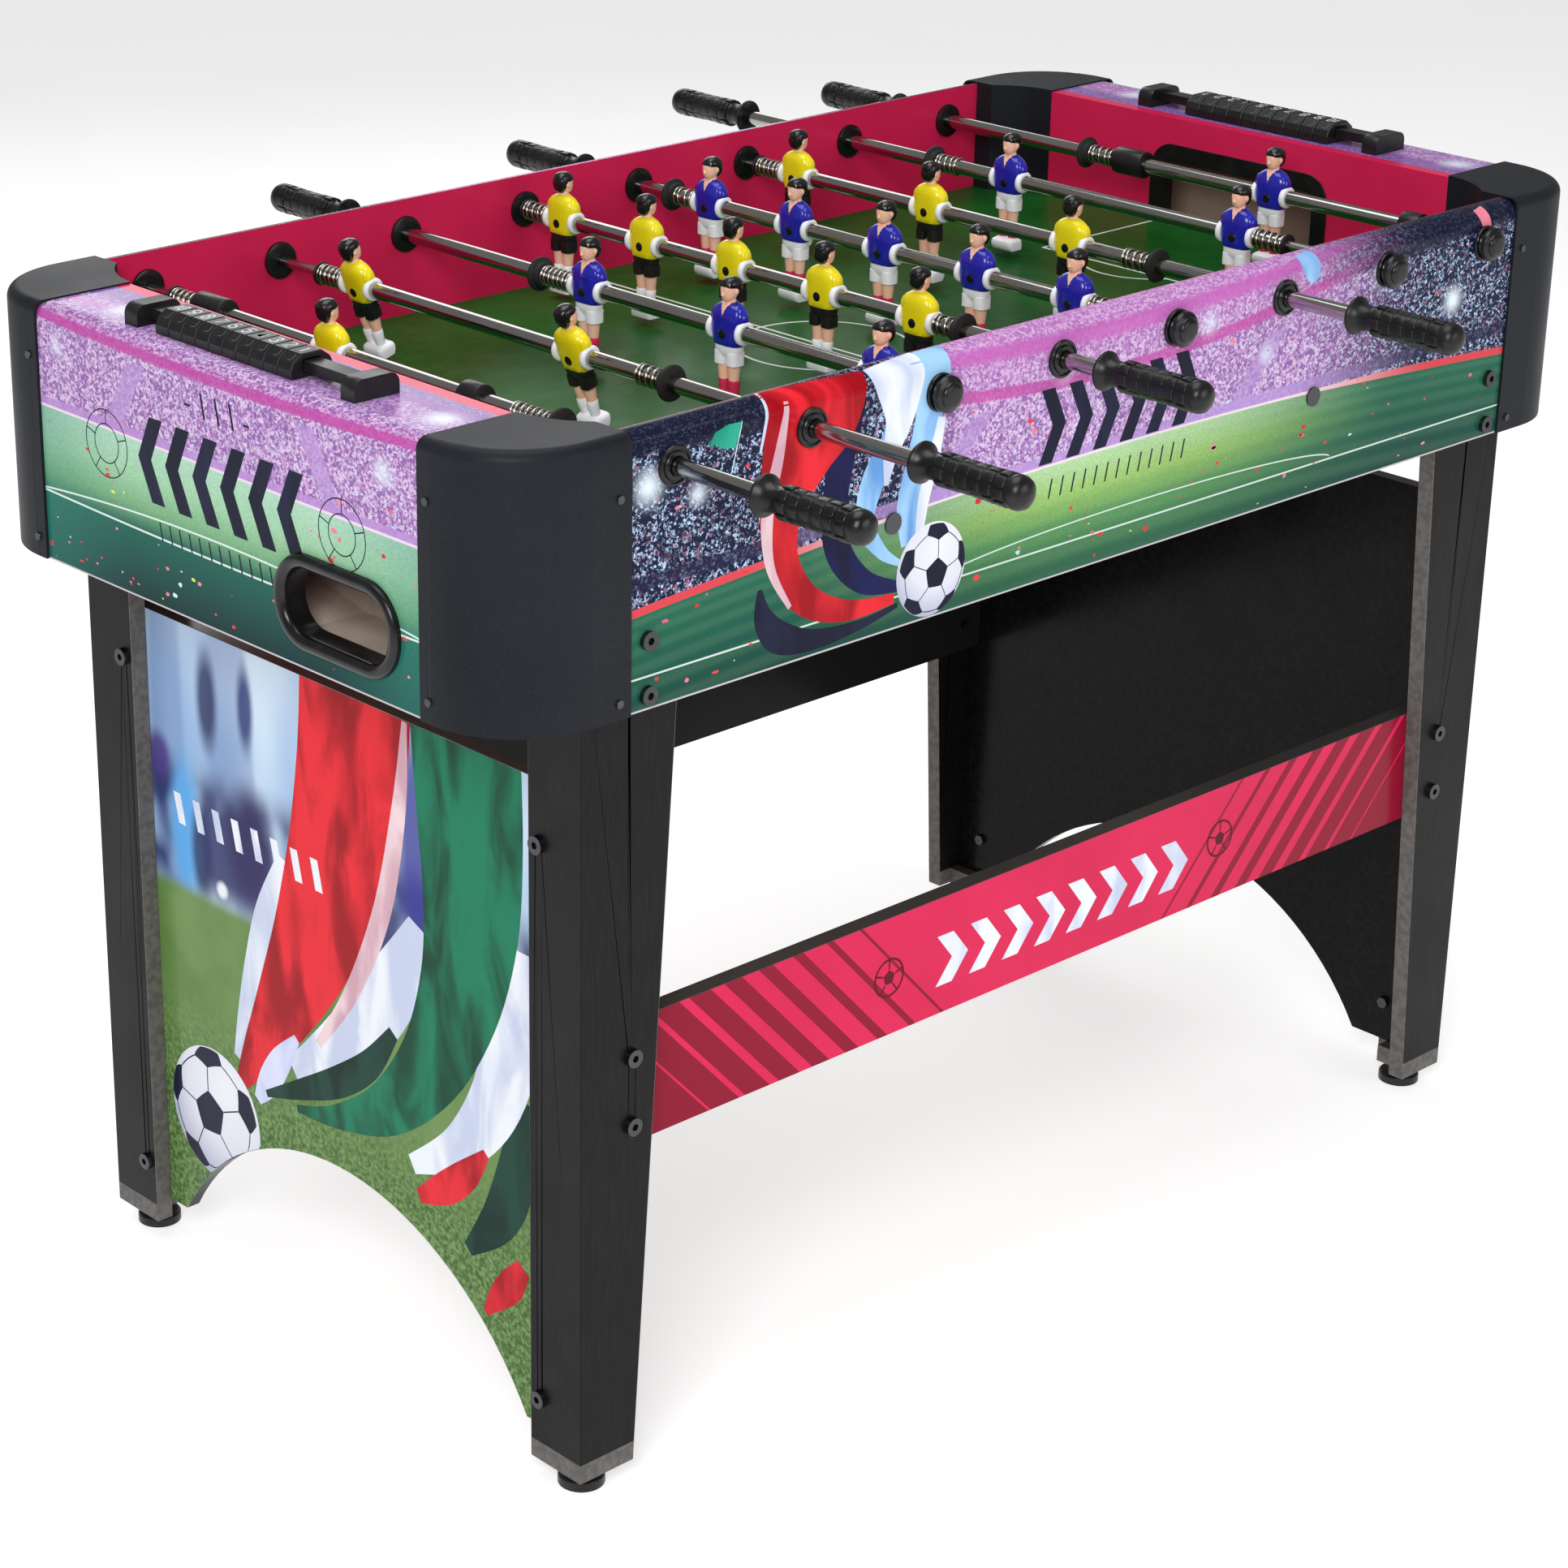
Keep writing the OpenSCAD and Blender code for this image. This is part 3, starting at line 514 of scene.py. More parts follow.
def leg_material():
    """Black wrap, with grey bands on the cut inner edges and a grey shoe at the floor."""
    net = Net("leg black")
    grain_place = net.point(net.x * 90.0, net.y * 90.0, net.z * 6.0)
    grain = net.noise(6.0, 4.0, at=grain_place)
    black = net.mix(grain.between(0.4, 0.7), (0.0045, 0.0045, 0.005), (0.009, 0.0085, 0.009))
    taper = (net.z.between(0.017, 0.628, 0.053, 0.090, smooth=False)).rsub(0.52425)
    in_edge = net.x.abs() - taper
    wide_edge = in_edge.abs().between(0.0004, 0.0008, 1.0, 0.0)
    narrow_edge = (net.y.abs().rsub(0.2390)).abs().between(0.0004, 0.0008, 1.0, 0.0)
    narrow_edge = narrow_edge * net.x.abs().between(BOARD_X - 0.0003, BOARD_X + 0.0001)
    shoe = net.z.between(SHOE_TOP - 0.0004, SHOE_TOP + 0.0004, 1.0, 0.0)
    grey = net.noise(160.0, 3.0)
    band = net.mix(grey.between(0.35, 0.65), (0.105, 0.098, 0.092), (0.150, 0.142, 0.134))
    colour = net.mix(wide_edge.max(narrow_edge).max(shoe), black, band)
    gloss = net.noise(12.0, 4.0).between(0.3, 0.7, 0.34, 0.46)
    return net.finish(colour, gloss, bump=grain, depth=0.00004, specular=0.14)


def blob(net, colour, u, v, spot, tone, strength=1.0):
    """A soft blurred patch; spot is (u, v, half width, half height)."""
    at_u, at_v, half_u, half_v = spot
    du, dv = (u - at_u) * (1 / half_u), (v - at_v) * (1 / half_v)
    away = (du * du + dv * dv).pow(0.5)
    return net.mix(away.between(0.5, 1.4, 1.0, 0.0) * strength, colour, tone)


def end_board_material():
    """Outside: blurred stands and grass; inside plain black; cut edges dark."""
    net = Net("end board print")
    v = net.z
    u = net.y * (net.x.between(-0.001, 0.001, 1.0, 0.0) * 2.0 - 1.0)
    blur = net.noise(1.6, 2.0, at=net.point(net.y * 4.2, 0.0, net.z * 2.2))
    sky = net.mix(blur.between(0.32, 0.62), (0.30, 0.46, 0.72), (0.66, 0.80, 0.94))
    posts = net.noise(1.0, 1.0, at=net.point(net.y * 15.0, 0.0, net.z * 1.2))
    sky = net.mix(posts.between(0.56, 0.66) * 0.35, sky, (0.10, 0.14, 0.36))
    low = net.noise(1.0, 2.0, at=net.point(net.y * 14.0, 3.0, net.z * 9.0))
    crowd_low = low.between(0.36, 0.55) * v.inside(0.338, 0.440, 0.02)
    sky = net.mix(crowd_low * 0.92, sky, (0.018, 0.022, 0.13))
    for spot, tone in (((0.112, 0.512, 0.010, 0.034), (0.02, 0.03, 0.17)),
                       ((0.162, 0.505, 0.013, 0.042), (0.015, 0.02, 0.10)),
                       ((0.112, 0.395, 0.030, 0.050), (0.03, 0.02, 0.10)),
                       ((0.196, 0.385, 0.020, 0.060), (0.08, 0.38, 0.80)),
                       ((0.230, 0.440, 0.016, 0.020), (0.08, 0.05, 0.24)),
                       ((0.175, 0.372, 0.014, 0.040), (0.02, 0.03, 0.12)),
                       ((0.150, 0.347, 0.007, 0.007), (0.90, 0.94, 1.0)),
                       ((-0.100, 0.470, 0.030, 0.100), (0.04, 0.04, 0.30))):
        sky = blob(net, sky, u, v, spot, tone, 0.9)
    far_grass = net.mix(net.noise(16.0, 3.0).between(0.3, 0.7), (0.115, 0.225, 0.060), (0.170, 0.290, 0.095))
    near_grass = net.mix(net.noise(240.0, 4.0, 0.7).between(0.35, 0.7), (0.045, 0.115, 0.022),
                         (0.22, 0.35, 0.13))
    grass = net.mix(v.between(0.14, 0.26, 1.0, 0.0), far_grass, near_grass)
    colour = net.mix(v.between(0.326, 0.342), grass, sky)
    outside = net.x.abs().between(0.5084, 0.5087)
    black = net.mix(net.noise(220.0, 4.0).between(0.4, 0.7), (0.0045, 0.0045, 0.005), (0.009, 0.009, 0.0095))
    colour = net.mix(outside, black, colour)
    edge = v.between(0.5609, 0.5612)
    return wrapped(net, net.mix(edge, colour, (0.060, 0.058, 0.056)))


def stretcher_material():
    """Crimson with slanting darker stripes at both ends, widest at the ends; the back is black."""
    net = Net("stretcher print")
    u = net.x.abs()
    slant = u - (net.z.rsub(0.375)) * -0.95
    reach = slant - 0.21
    pitch = 0.0335
    in_stripe = reach.mod(pitch)
    wide = (reach * 0.055 + 0.0008)
    stripe = (in_stripe - pitch / 2).abs().between(wide - 0.0004, wide + 0.0004, 1.0,
                                                   0.0) * reach.between(0.0, 0.002)
    base = crimson_tone(net)
    colour = net.mix(stripe, base, (0.27, 0.006, 0.028))
    front = net.y.abs().between(0.2796, 0.2798)
    colour = net.mix(front, (0.012, 0.012, 0.013), colour)
    colour = net.mix(net.z.between(0.3744, 0.3747), colour, (0.055, 0.053, 0.052))
    return wrapped(net, colour)


def cloth_print(name, dark, light, folds=26.0):
    """Printed streamer with soft folds running down it."""
    net = Net(name)
    place = net.point((net.x + net.y) * folds, net.y * 4.0, net.z * folds * 0.35)
    fold = net.noise(1.0, 3.0, at=place, distort=0.7)
    return wrapped(net, net.mix(fold.between(0.36, 0.64), dark, light))


def ball_print(name, along, at_u, at_v, radius):
    """White ball shaded as a sphere lit from above; along is the axis the picture runs on."""
    net = Net(name)
    u = (net.x if along == "x" else net.y).abs()
    du, dv = (u - (at_u - radius * 0.25)) * (1 / radius), (net.z - (at_v + radius * 0.45)) * (1 / radius)
    away = (du * du + dv * dv).pow(0.5)
    tone = net.ramp(away * 0.55, (0.0, (0.86, 0.88, 0.92)), (0.5, (0.74, 0.76, 0.86)),
                    (0.75, (0.50, 0.52, 0.66)), (1.0, (0.20, 0.22, 0.32)))
    return wrapped(net, tone)


M = {
    "side": side_panel_material("long side print"),
    "end": end_panel_material("end print"),
    "crimson": goal_wall_material(),
    "field": playfield_material(),
    "fibre": fibreboard_material(),
    # Tray board coloured much lighter than raw fibreboard: painted light on a board that lies in shade
    # behind the return mouths.
    "tray": fibreboard_material("tray board painted light", (0.54, 0.43, 0.35), (0.68, 0.56, 0.47)),
    "cap": cap_material(),
    "leg": leg_material(),
    "board": end_board_material(),
    "stretcher": stretcher_material(),
    "black": plastic("black plastic", (0.007, 0.007, 0.008), 0.36),
    "gloss_black": plastic("gloss black plastic", (0.006, 0.006, 0.007), 0.22, grain=300.0, depth=0.00002),
    "grip": plastic("grip black", (0.004, 0.004, 0.0045), 0.33, grain=700.0, depth=0.00006),
    "rubber": plastic("black rubber", (0.012, 0.012, 0.012), 0.62, grain=600.0, depth=0.00008),
    "chrome": polished_metal("rod chrome", (0.42, 0.41, 0.39), 0.14),
    "core": polished_metal("core steel", (0.50, 0.49, 0.48), 0.20),
    "spring": polished_metal("spring steel", (0.62, 0.60, 0.54), 0.16),
    "zinc": polished_metal("dark zinc bolt", (0.085, 0.085, 0.09), 0.36),
    "screw": polished_metal("dark screw", (0.10, 0.10, 0.11), 0.40),
    "yellow": paint("shirt yellow", (0.88, 0.74, 0.008), 0.24, worn=0.01, coat=0.3),
    "blue": paint("shirt blue", (0.014, 0.014, 0.36), 0.20, worn=0.03, coat=0.4),
    "skin": paint("skin paint", (0.96, 0.56, 0.40), 0.36, worn=0.015),
    "hair": plastic("hair paint", (0.008, 0.008, 0.008), 0.22, grain=420.0, depth=0.00035, worn=0.02,
                    coat=0.3),
    "white": paint("white plastic", (0.90, 0.92, 0.96), 0.32, worn=0.01),
    "shorts_black": paint("shorts black", (0.008, 0.008, 0.008), 0.38),
    "sock_red": paint("sock red", (0.62, 0.025, 0.09), 0.36, worn=0.01),
    "print_red": cloth_print("red streamer", (0.34, 0.004, 0.010), (0.80, 0.022, 0.035)),
    "print_sky": cloth_print("sky streamer", (0.13, 0.33, 0.72), (0.36, 0.62, 0.90)),
    "print_white": cloth_print("white streamer", (0.56, 0.62, 0.80), (0.84, 0.88, 0.94)),
    "print_lilac": cloth_print("lilac streamer", (0.50, 0.54, 0.84), (0.72, 0.76, 0.95)),
    "print_green": cloth_print("green streamer", (0.004, 0.060, 0.032), (0.010, 0.20, 0.105)),
    "print_night": cloth_print("night streamer", (0.004, 0.005, 0.022), (0.010, 0.012, 0.10)),
    "print_pink": cloth_print("pale streamer", (0.62, 0.36, 0.44), (0.86, 0.66, 0.70)),
    "print_forest": cloth_print("forest streamer", (0.003, 0.022, 0.016), (0.008, 0.055, 0.038)),
    "ink_navy": cloth_print("navy ink", (0.006, 0.008, 0.024), (0.012, 0.014, 0.045)),
    "ink_teal": cloth_print("teal ink", (0.010, 0.26, 0.18), (0.03, 0.40, 0.28)),
    "ink_scarlet": cloth_print("scarlet ink", (0.62, 0.03, 0.03), (0.80, 0.06, 0.06)),
    "ink_rose": cloth_print("rose ink", (0.70, 0.12, 0.22), (0.85, 0.26, 0.34)),
    "ink_lime": cloth_print("lime ink", (0.42, 0.62, 0.06), (0.62, 0.80, 0.14)),
    "ink_mint": cloth_print("mint ink", (0.36, 0.66, 0.60), (0.60, 0.84, 0.80)),
    "ink_wine": cloth_print("wine ink", (0.10, 0.003, 0.012), (0.13, 0.004, 0.016)),
    "long_ball": ball_print("ball on the long sides", "x", 0.198, 0.6657, 0.036),
    "board_ball": ball_print("ball on the end boards", "y", 0.170, 0.140, 0.059),
    # Grey of the bead hooks: a painted highlight on the black moulding, over a slightly raised rib.
    "hook_highlight_grey": plastic("moulded hook painted highlight", (0.10, 0.105, 0.12), 0.30, grain=500.0, depth=0.00001),
    "ink_white": plastic("white ink", (0.74, 0.76, 0.80), 0.40, grain=500.0, depth=0.00001, worn=0.02),
}


# ---- mesh building ----

class Piece:
    """Gathers faces, each with a material, and makes them one object that rides on a body."""

    def __init__(self, name):
        self.name, self.verts, self.faces, self.slots, self.materials = name, [], [], [], []

    def add(self, shape, material, at=None):
        """shape is (vertices, faces); at is a matrix that puts it in place."""
        verts, faces = shape
        if material not in self.materials:
            self.materials.append(material)
        base = len(self.verts)
        self.verts += [(at @ Vector(v)) if at else Vector(v) for v in verts]
        flip = at is not None and at.determinant() < 0
        self.faces += [[base + i for i in (reversed(f) if flip else f)] for f in faces]
        self.slots += [self.materials.index(material)] * len(faces)

    def build(self, body, replaces=(), sharp=35.0):
        mesh = bpy.data.meshes.new(self.name)
        mesh.from_pydata([tuple(v) for v in self.verts], [], self.faces)
        for m in self.materials:
            mesh.materials.append(M[m])
        mesh.polygons.foreach_set("material_index", self.slots)
        mesh.polygons.foreach_set("use_smooth", [True] * len(mesh.polygons))
        mesh.update()
        mesh.set_sharp_from_angle(angle=math.radians(sharp))
        obj = bpy.data.objects.new(self.name, mesh)
        bpy.context.scene.collection.objects.link(obj)
        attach(obj, body)
        if replaces:
            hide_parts(*replaces)
        return obj


def join_rings(rings):
    """Skin over rings of points, each ring in the same order round."""
    count = len(rings[0])
    verts = [p for ring in rings for p in ring]
    faces = []
    for r in range(len(rings) - 1):
        for i in range(count):
            a, b = r * count + i, r * count + (i + 1) % count
            faces.append([a, b, b + count, a + count])
    faces.append(list(reversed(range(count))))
    faces.append([(len(rings) - 1) * count + i for i in range(count)])
    return verts, faces


def lathe(profile, sides=48):
    """Turned shape about Z from (radius, height) points, from the bottom up the outside."""
    rings = [[(r * math.cos(TAU * i / sides), r * math.sin(TAU * i / sides), h) for i in range(sides)]
             for r, h in profile]
    return join_rings(rings)


def turned_ring(profile, sides=48):
    """Turned shape about Z whose (radius, height) outline is a closed loop, such as a bored part."""
    verts, faces = [], []
    count = len(profile)
    for i in range(sides):
        c, s = math.cos(TAU * i / sides), math.sin(TAU * i / sides)
        verts += [(r * c, r * s, h) for r, h in profile]
    for i in range(sides):
        for j in range(count):
            a, b = i * count + j, ((i + 1) % sides) * count + j
            c, d = ((i + 1) % sides) * count + (j + 1) % count, i * count + (j + 1) % count
            faces.append([a, b, c, d])
    return verts, faces


def prism(outline, lo, hi):
    """Outline of (u, v) points standing between heights lo and hi."""
    return join_rings([[(u, v, lo) for u, v in outline], [(u, v, hi) for u, v in outline]])


def superellipse(cx, cy, hx, hy, z, power=2.4, count=28):
    ring = []
    for i in range(count):
        a = TAU * i / count
        c, s = math.cos(a), math.sin(a)
        ring.append((cx + hx * math.copysign(abs(c) ** (2 / power), c),
                     cy + hy * math.copysign(abs(s) ** (2 / power), s), z))
    return ring


def loft(sections, count=28):
    """Body through sections (z, cx, cy, half_x, half_y, power), bottom first, in millimetres."""
    return join_rings([superellipse(cx * MM, cy * MM, hx * MM, hy * MM, z * MM, power, count)
                       for z, cx, cy, hx, hy, power in sections])


def tube_path(points, radius, sides=10):
    """Round wire along a path of points."""
    rings = []
    frame_up = Vector((0.37, 0.61, 0.70)).normalized()
    for i, p in enumerate(points):
        ahead = points[min(i + 1, len(points) - 1)] - points[max(i - 1, 0)]
        t = ahead.normalized()
        frame_up = (frame_up - t * frame_up.dot(t)).normalized()
        side = t.cross(frame_up)
        rings.append([p + (frame_up * math.cos(TAU * k / sides) + side * math.sin(TAU * k / sides)) * radius
                      for k in range(sides)])
    return join_rings(rings)


def along_y(x, y, z, side=1.0):
    """Turns a part made about Z so that its +Z runs along Y, towards side."""
    turn = Matrix.Rotation(math.radians(-90 * side), 4, "X")
    return Matrix.Translation((x, y, z)) @ turn


# Radii of the sliding tubes in millimetres: outside, bore, and the bore of what is fixed on them
TUBE, TUBE_BORE, SLEEVE = 6.35, 4.85, 6.4
# Play of a tube in its bearing, and bore round the thin inner rods
BEARING_PLAY, CORE_BORE = 0.15, 4.3
# A coil: radius of its centre line, radius of its wire, distance between turns, clearance at each end
COIL_R, WIRE_R, COIL_PITCH, COIL_CLEAR = 7.5, 0.9, 5.0, 0.1
# Parts on a tube are told apart by their diameter: below the first a coil, above the second a washer
COIL_BELOW, WASHER_ABOVE = 21, 26


# ---- players ----

TORSO = [(-11.4, 0, 0, 7.0, 12.4, 3.0), (-10.6, 0, 0, 7.9, 13.4, 3.0), (-7, 0, 0, 8.3, 14.3, 3.0),
         (-3, 0, 0, 8.5, 15.3, 3.0), (3, 0, 0, 8.7, 15.9, 3.0), (9, 0, 0, 8.8, 16.1, 2.7),
         (13, -0.2, 0, 8.6, 15.9, 2.5),
         (16.5, -0.4, 0, 8.0, 14.6, 2.4), (19, -0.5, 0, 7.0, 12.0, 2.3), (20.8, -0.6, 0, 5.8, 8.6, 2.2),
         (22, -0.6, 0, 4.8, 5.6, 2.0)]
ARM = [(-5, 0, 0, 2.6, 1.8, 2.2), (-2, 0, 0.3, 4.6, 3.2, 2.2), (4, 0, 0.6, 5.6, 4.0, 2.2),
       (9, 0, 0.6, 5.8, 4.4, 2.2),
       (13, 0, 0, 5.6, 4.6, 2.2), (16, 0, -1.0, 4.8, 4.2, 2.2), (18, 0, -2.6, 3.4, 3.2, 2.0),
       (19, 0, -3.6, 1.6, 1.8, 2.0)]
SHORTS = [(-19.5, 0, 0, 5.6, 10.6, 3.0), (-17.5, 0, 0, 6.9, 11.9, 3.0), (-13, 0, 0, 7.2, 12.2, 3.0),
          (-9.5, 0, 0, 7.0, 12.0, 3.0)]
SHORT_LEG = [(-27.0, 0, 0.3, 5.5, 4.5, 2.8), (-26.3, 0, 0.3, 6.7, 5.6, 2.8), (-21, 0, 0.1, 7.0, 5.7, 2.8),
             (-16.5, 0, 0, 7.0, 5.8, 2.8)]
NECKLINE = [(11.4, 7.5, 0, 1.1, 0.4, 2.0), (14.5, 6.95, 0, 1.25, 1.8, 2.3), (17.0, 6.1, 0, 1.4, 3.2, 2.4),
            (19.0, 5.25, 0, 1.4, 4.0, 2.4), (20.8, 3.95, 0, 1.4, 4.4, 2.4), (22.2, 2.9, 0, 1.3, 4.2, 2.4)]
LEG = [(-39, 0, 0, 3.9, 3.9, 2.1), (-36, 0, 0, 4.3, 4.2, 2.1), (-31, 0, 0, 4.8, 4.7, 2.1),
       (-25, 0, 0, 5.2, 5.1, 2.1)]
SOCK = [(-53, 0, 0, 3.7, 3.6, 2.1), (-48, -0.2, 0, 4.0, 3.9, 2.1), (-43, -0.4, 0, 4.6, 4.4, 2.1),
        (-39.2, -0.2, 0, 4.6, 4.5, 2.1), (-38.4, -0.1, 0, 4.2, 4.1, 2.1)]
BOOT = [(-62, 0.0, 0, 6.6, 11.2, 7.0), (-61.6, 0.2, 0, 7.4, 11.8, 7.0), (-59, 0.8, 0, 8.6, 12.0, 6.5),
        (-55.5, 1.2, 0, 9.0, 12.0, 6.0), (-53.4, 1.1, 0, 8.6, 11.8, 5.0), (-52.2, 0.6, 0, 7.0, 10.8, 4.0),
        (-51.0, 0, 0, 4.4, 8.6, 3.0)]
NECK = [(18.5, -0.4, 0, 5.0, 5.4, 2.0), (21.5, -0.4, 0, 4.3, 4.3, 2.0), (26, 0, 0, 4.3, 4.2, 2.0)]
HEAD = [(22.6, 3.0, 0, 1.5, 1.8, 2.0), (23.4, 2.6, 0, 3.4, 3.4, 2.2), (24.8, 1.8, 0, 5.2, 4.6, 2.3),
        (27, 1.0, 0, 6.7, 5.5, 2.3), (30, 0.6, 0, 7.4, 6.0, 2.3), (33, 0.4, 0, 7.6, 6.1, 2.3),
        (36, 0.0, 0, 7.2, 5.9, 2.2), (38.6, -0.4, 0, 5.8, 5.0, 2.1), (40.0, -0.6, 0, 3.4, 3.0, 2.0)]
HAIR_TOP = [(33.6, -0.9, 0, 7.8, 6.9, 2.4), (34.8, -0.8, 0, 8.5, 7.3, 2.5), (36.8, -0.8, 0, 8.3, 7.1, 2.5),
            (38.8, -0.9, 0, 7.0, 6.2, 2.4), (40.2, -1.0, 0, 5.0, 4.4, 2.2), (41.0, -1.0, 0, 2.4, 2.2, 2.0)]
HAIR_BACK = [(24.4, -4.4, 0, 2.0, 3.8, 2.2), (26.0, -4.8, 0, 3.0, 5.2, 2.3), (28.5, -4.5, 0, 4.2, 6.2, 2.4),
             (31.5, -4.0, 0, 5.0, 6.9, 2.4), (35, -3.4, 0, 5.4, 7.2, 2.4), (38, -3.0, 0, 4.6, 6.2, 2.2)]
NOSE = [(27.2, 7.5, 0, 0.6, 1.1, 2.0), (28.0, 7.8, 0, 1.5, 1.4, 2.0), (29.6, 7.6, 0, 1.1, 1.0, 2.0),
        (31.6, 7.5, 0, 0.5, 0.7, 2.0)]
EAR = [(28.2, -0.6, 0, 0.8, 0.5, 2.0), (29.2, -0.8, 0, 1.7, 1.0, 2.0), (31.2, -0.8, 0, 1.9, 1.1, 2.0),
       (32.6, -0.8, 0, 1.0, 0.6, 2.0)]
CUFF = [(SLEEVE, 13.2), (8.3, 13.2), (9.1, 13.8), (9.4, 14.7), (9.4, 16.6), (9.0, 17.4), (8.1, 18.0),
        (SLEEVE, 18.0)]
SCREW_HEAD = [(0.0, -1.0), (3.7, -1.0), (3.7, 0.5), (3.1, 1.0), (1.5, 1.2), (1.4, 0.4), (0.0, 0.4)]
HEAD_SCREW_Z, HEAD_SCREW_SEAT = -2.0, 8.3


def scaled(profile):
    return [(r * MM, h * MM) for r, h in profile]


def tufted(sections, count):
    """Moulded hair: a loft whose outline is drawn out into short pointed tufts."""
    rings = []
    for i, (z, cx, cy, rx, ry, n) in enumerate(sections):
        depth = 0.10 * math.sin(math.pi * i / (len(sections) - 1))
        ring = []
        for k, (x, y, h) in enumerate(superellipse(0.0, 0.0, rx * MM, ry * MM, z * MM, n, 6 * count)):
            tip = 1.0 - abs(2.0 * ((k / 6 + 0.5 * (i % 2)) % 1.0) - 1.0)
            swell = 1.0 + depth * (tip - 0.6)
            ring.append((cx * MM + x * swell, cy * MM + y * swell, h))
        rings.append(ring)
    return join_rings(rings)


def add_player(piece, kit, at):
    """One moulded player on its rod axis, facing +X."""
    shirt, shorts, socks = kit
    mirror = Matrix.Scale(-1, 4, (0, 1, 0))
    piece.add(loft(TORSO), shirt, at)
    piece.add(loft(SHORTS), shorts, at)
    piece.add(loft(BOOT, 36), "white", at)
    piece.add(loft(NECK), "skin", at)
    piece.add(loft(HEAD), "skin", at)
    piece.add(loft(NOSE, 12), "skin", at)
    piece.add(tufted(HAIR_TOP, 9), "hair", at)
    piece.add(tufted(HAIR_BACK, 11), "hair", at)
    if shirt == "blue":
        piece.add(loft(NECKLINE, 16), "skin", at)
    arm = Matrix.Translation((0, 12.6 * MM, 0))
    leg = Matrix.Translation((0, 5.3 * MM, 0))
    short_leg = Matrix.Translation((0, 6.1 * MM, 0))
    ear = Matrix.Translation((0, 6.2 * MM, 0))
    cuff = Matrix.Rotation(math.radians(-90), 4, "X")
    for flip in (Matrix.Identity(4), mirror):
        piece.add(loft(ARM), shirt, at @ flip @ arm)
        piece.add(loft(SHORT_LEG), shorts, at @ flip @ short_leg)
        piece.add(loft(LEG), "skin", at @ flip @ leg)
        piece.add(loft(SOCK), socks, at @ flip @ leg)
        piece.add(loft(EAR, 12), "skin", at @ flip @ ear)
        piece.add(turned_ring(scaled(CUFF), 40), "white", at @ flip @ cuff)
    # The screw that holds the player to the rod shows on the side that faces -X
    out = -1.0 if kit[0] == "yellow" else 1.0
    seat = Matrix.Translation((out * HEAD_SCREW_SEAT * MM, 0, HEAD_SCREW_Z * MM))
    face = seat @ Matrix.Rotation(math.radians(90 * out), 4, "Y")
    piece.add(lathe(scaled(SCREW_HEAD), 24), "gloss_black", at @ face)


YELLOW_KIT = ("yellow", "shorts_black", "white")
BLUE_KIT = ("blue", "white", "sock_red")


def build_players(n):
    team = YELLOW_KIT if HANDLE_SIDE[n] < 0 else BLUE_KIT
    facing = 0.0 if team is YELLOW_KIT else math.pi
    node = f"rod{n}_players"
    piece = Piece(f"rod{n}_men")
    for lo, hi in solids(node):
        place = Matrix.Translation((ROD_POS[n].x, (lo.y + hi.y) / 2, ROD_POS[n].z))
        turn = Matrix.Rotation(-MEN_LEAN.get(n, 0.0), 4, "Y") @ Matrix.Rotation(facing, 4, "Z")
        add_player(piece, team, place @ turn)
    piece.build(f"rod{n}_spin", [node], sharp=42)


# ---- handles, springs and rods ----

def build_handle(n):
    node = f"rod{n}_handle"
    lo, hi = (Vector(c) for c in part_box(node))
    side = HANDLE_SIDE[n]
    length = hi.y - lo.y
    start = lo.y if side > 0 else hi.y
    at = along_y(ROD_POS[n].x, start, ROD_POS[n].z, side)
    piece = Piece(f"rod{n}_grip")
    bore = SLEEVE
    cup = [(bore, 5.0), (bore, 3.2), (10.5, 2.6), (13.0, 0.9), (14.4, 0.0), (15.0, 0.7), (15.0, 1.8),
           (13.6, 3.4), (11.4, 6.0), (10.2, 9.0), (9.6, 13.0), (9.3, 17.0), (10.0, 19.0), (bore, 19.0)]
    piece.add(turned_ring(scaled(cup), 56), "grip", at)
    end = length / MM
    core = [(0.0, 17.5), (9.0, 17.5), (10.4, 20.0), (11.3, 26.0), (11.7, 40.0), (11.6, 62.0), (11.2, 78.0),
            (11.6, end - 14.0), (12.4, end - 11.0), (12.2, end - 7.5), (10.8, end - 4.0), (8.0, end - 1.6),
            (4.0, end - 0.3), (0.0, end)]
    piece.add(lathe(scaled(core), 56), "grip", at)
    rows, rings = 8, 6
    first, last = 19.5, end - 13.0
    step = (last - first) / rings
    for row in range(rows):
        for ring in range(rings):
            z0, z1 = first + step * ring + 0.7, first + step * (ring + 1) - 0.7
            shift = 0.12 * TAU / rows * (ring % 2)
            piece.add(grip_block(TAU * row / rows + shift, TAU / rows * 0.39, z0, z1, 11.0, grip_radius),
                      "grip", at)
    piece.build(f"rod{n}_spin", [node], sharp=50)


def grip_radius(z):
    """Outer radius of the raised blocks, fuller at both ends of the grip."""
    return 12.5 - 0.55 * math.sin((z - 19.0) / 64.0 * math.pi) ** 2


def grip_block(angle, half, z0, z1, root, radius):
    """Pillow-shaped block on a round grip, in millimetres."""
    layers = [(1.0, 0.0, 0.0), (0.98, 0.35, 0.62), (0.90, 1.0, 0.90), (0.74, 2.2, 1.0)]
    steps = 5
    rings = []
    for width, inset, lift in layers:
        ring = []
        lo, hi = z0 + inset * 0.8, z1 - inset * 0.8
        corners = [(-1 + 2 * i / steps, lo) for i in range(steps + 1)]
        corners += [(1 - 2 * i / steps, hi) for i in range(steps + 1)]
        for t, z in corners:
            a = angle + half * width * t
            r = root + (radius(z) - root) * lift
            ring.append((r * math.cos(a) * MM, r * math.sin(a) * MM, z * MM))
        rings.append(ring)
    return join_rings(rings)


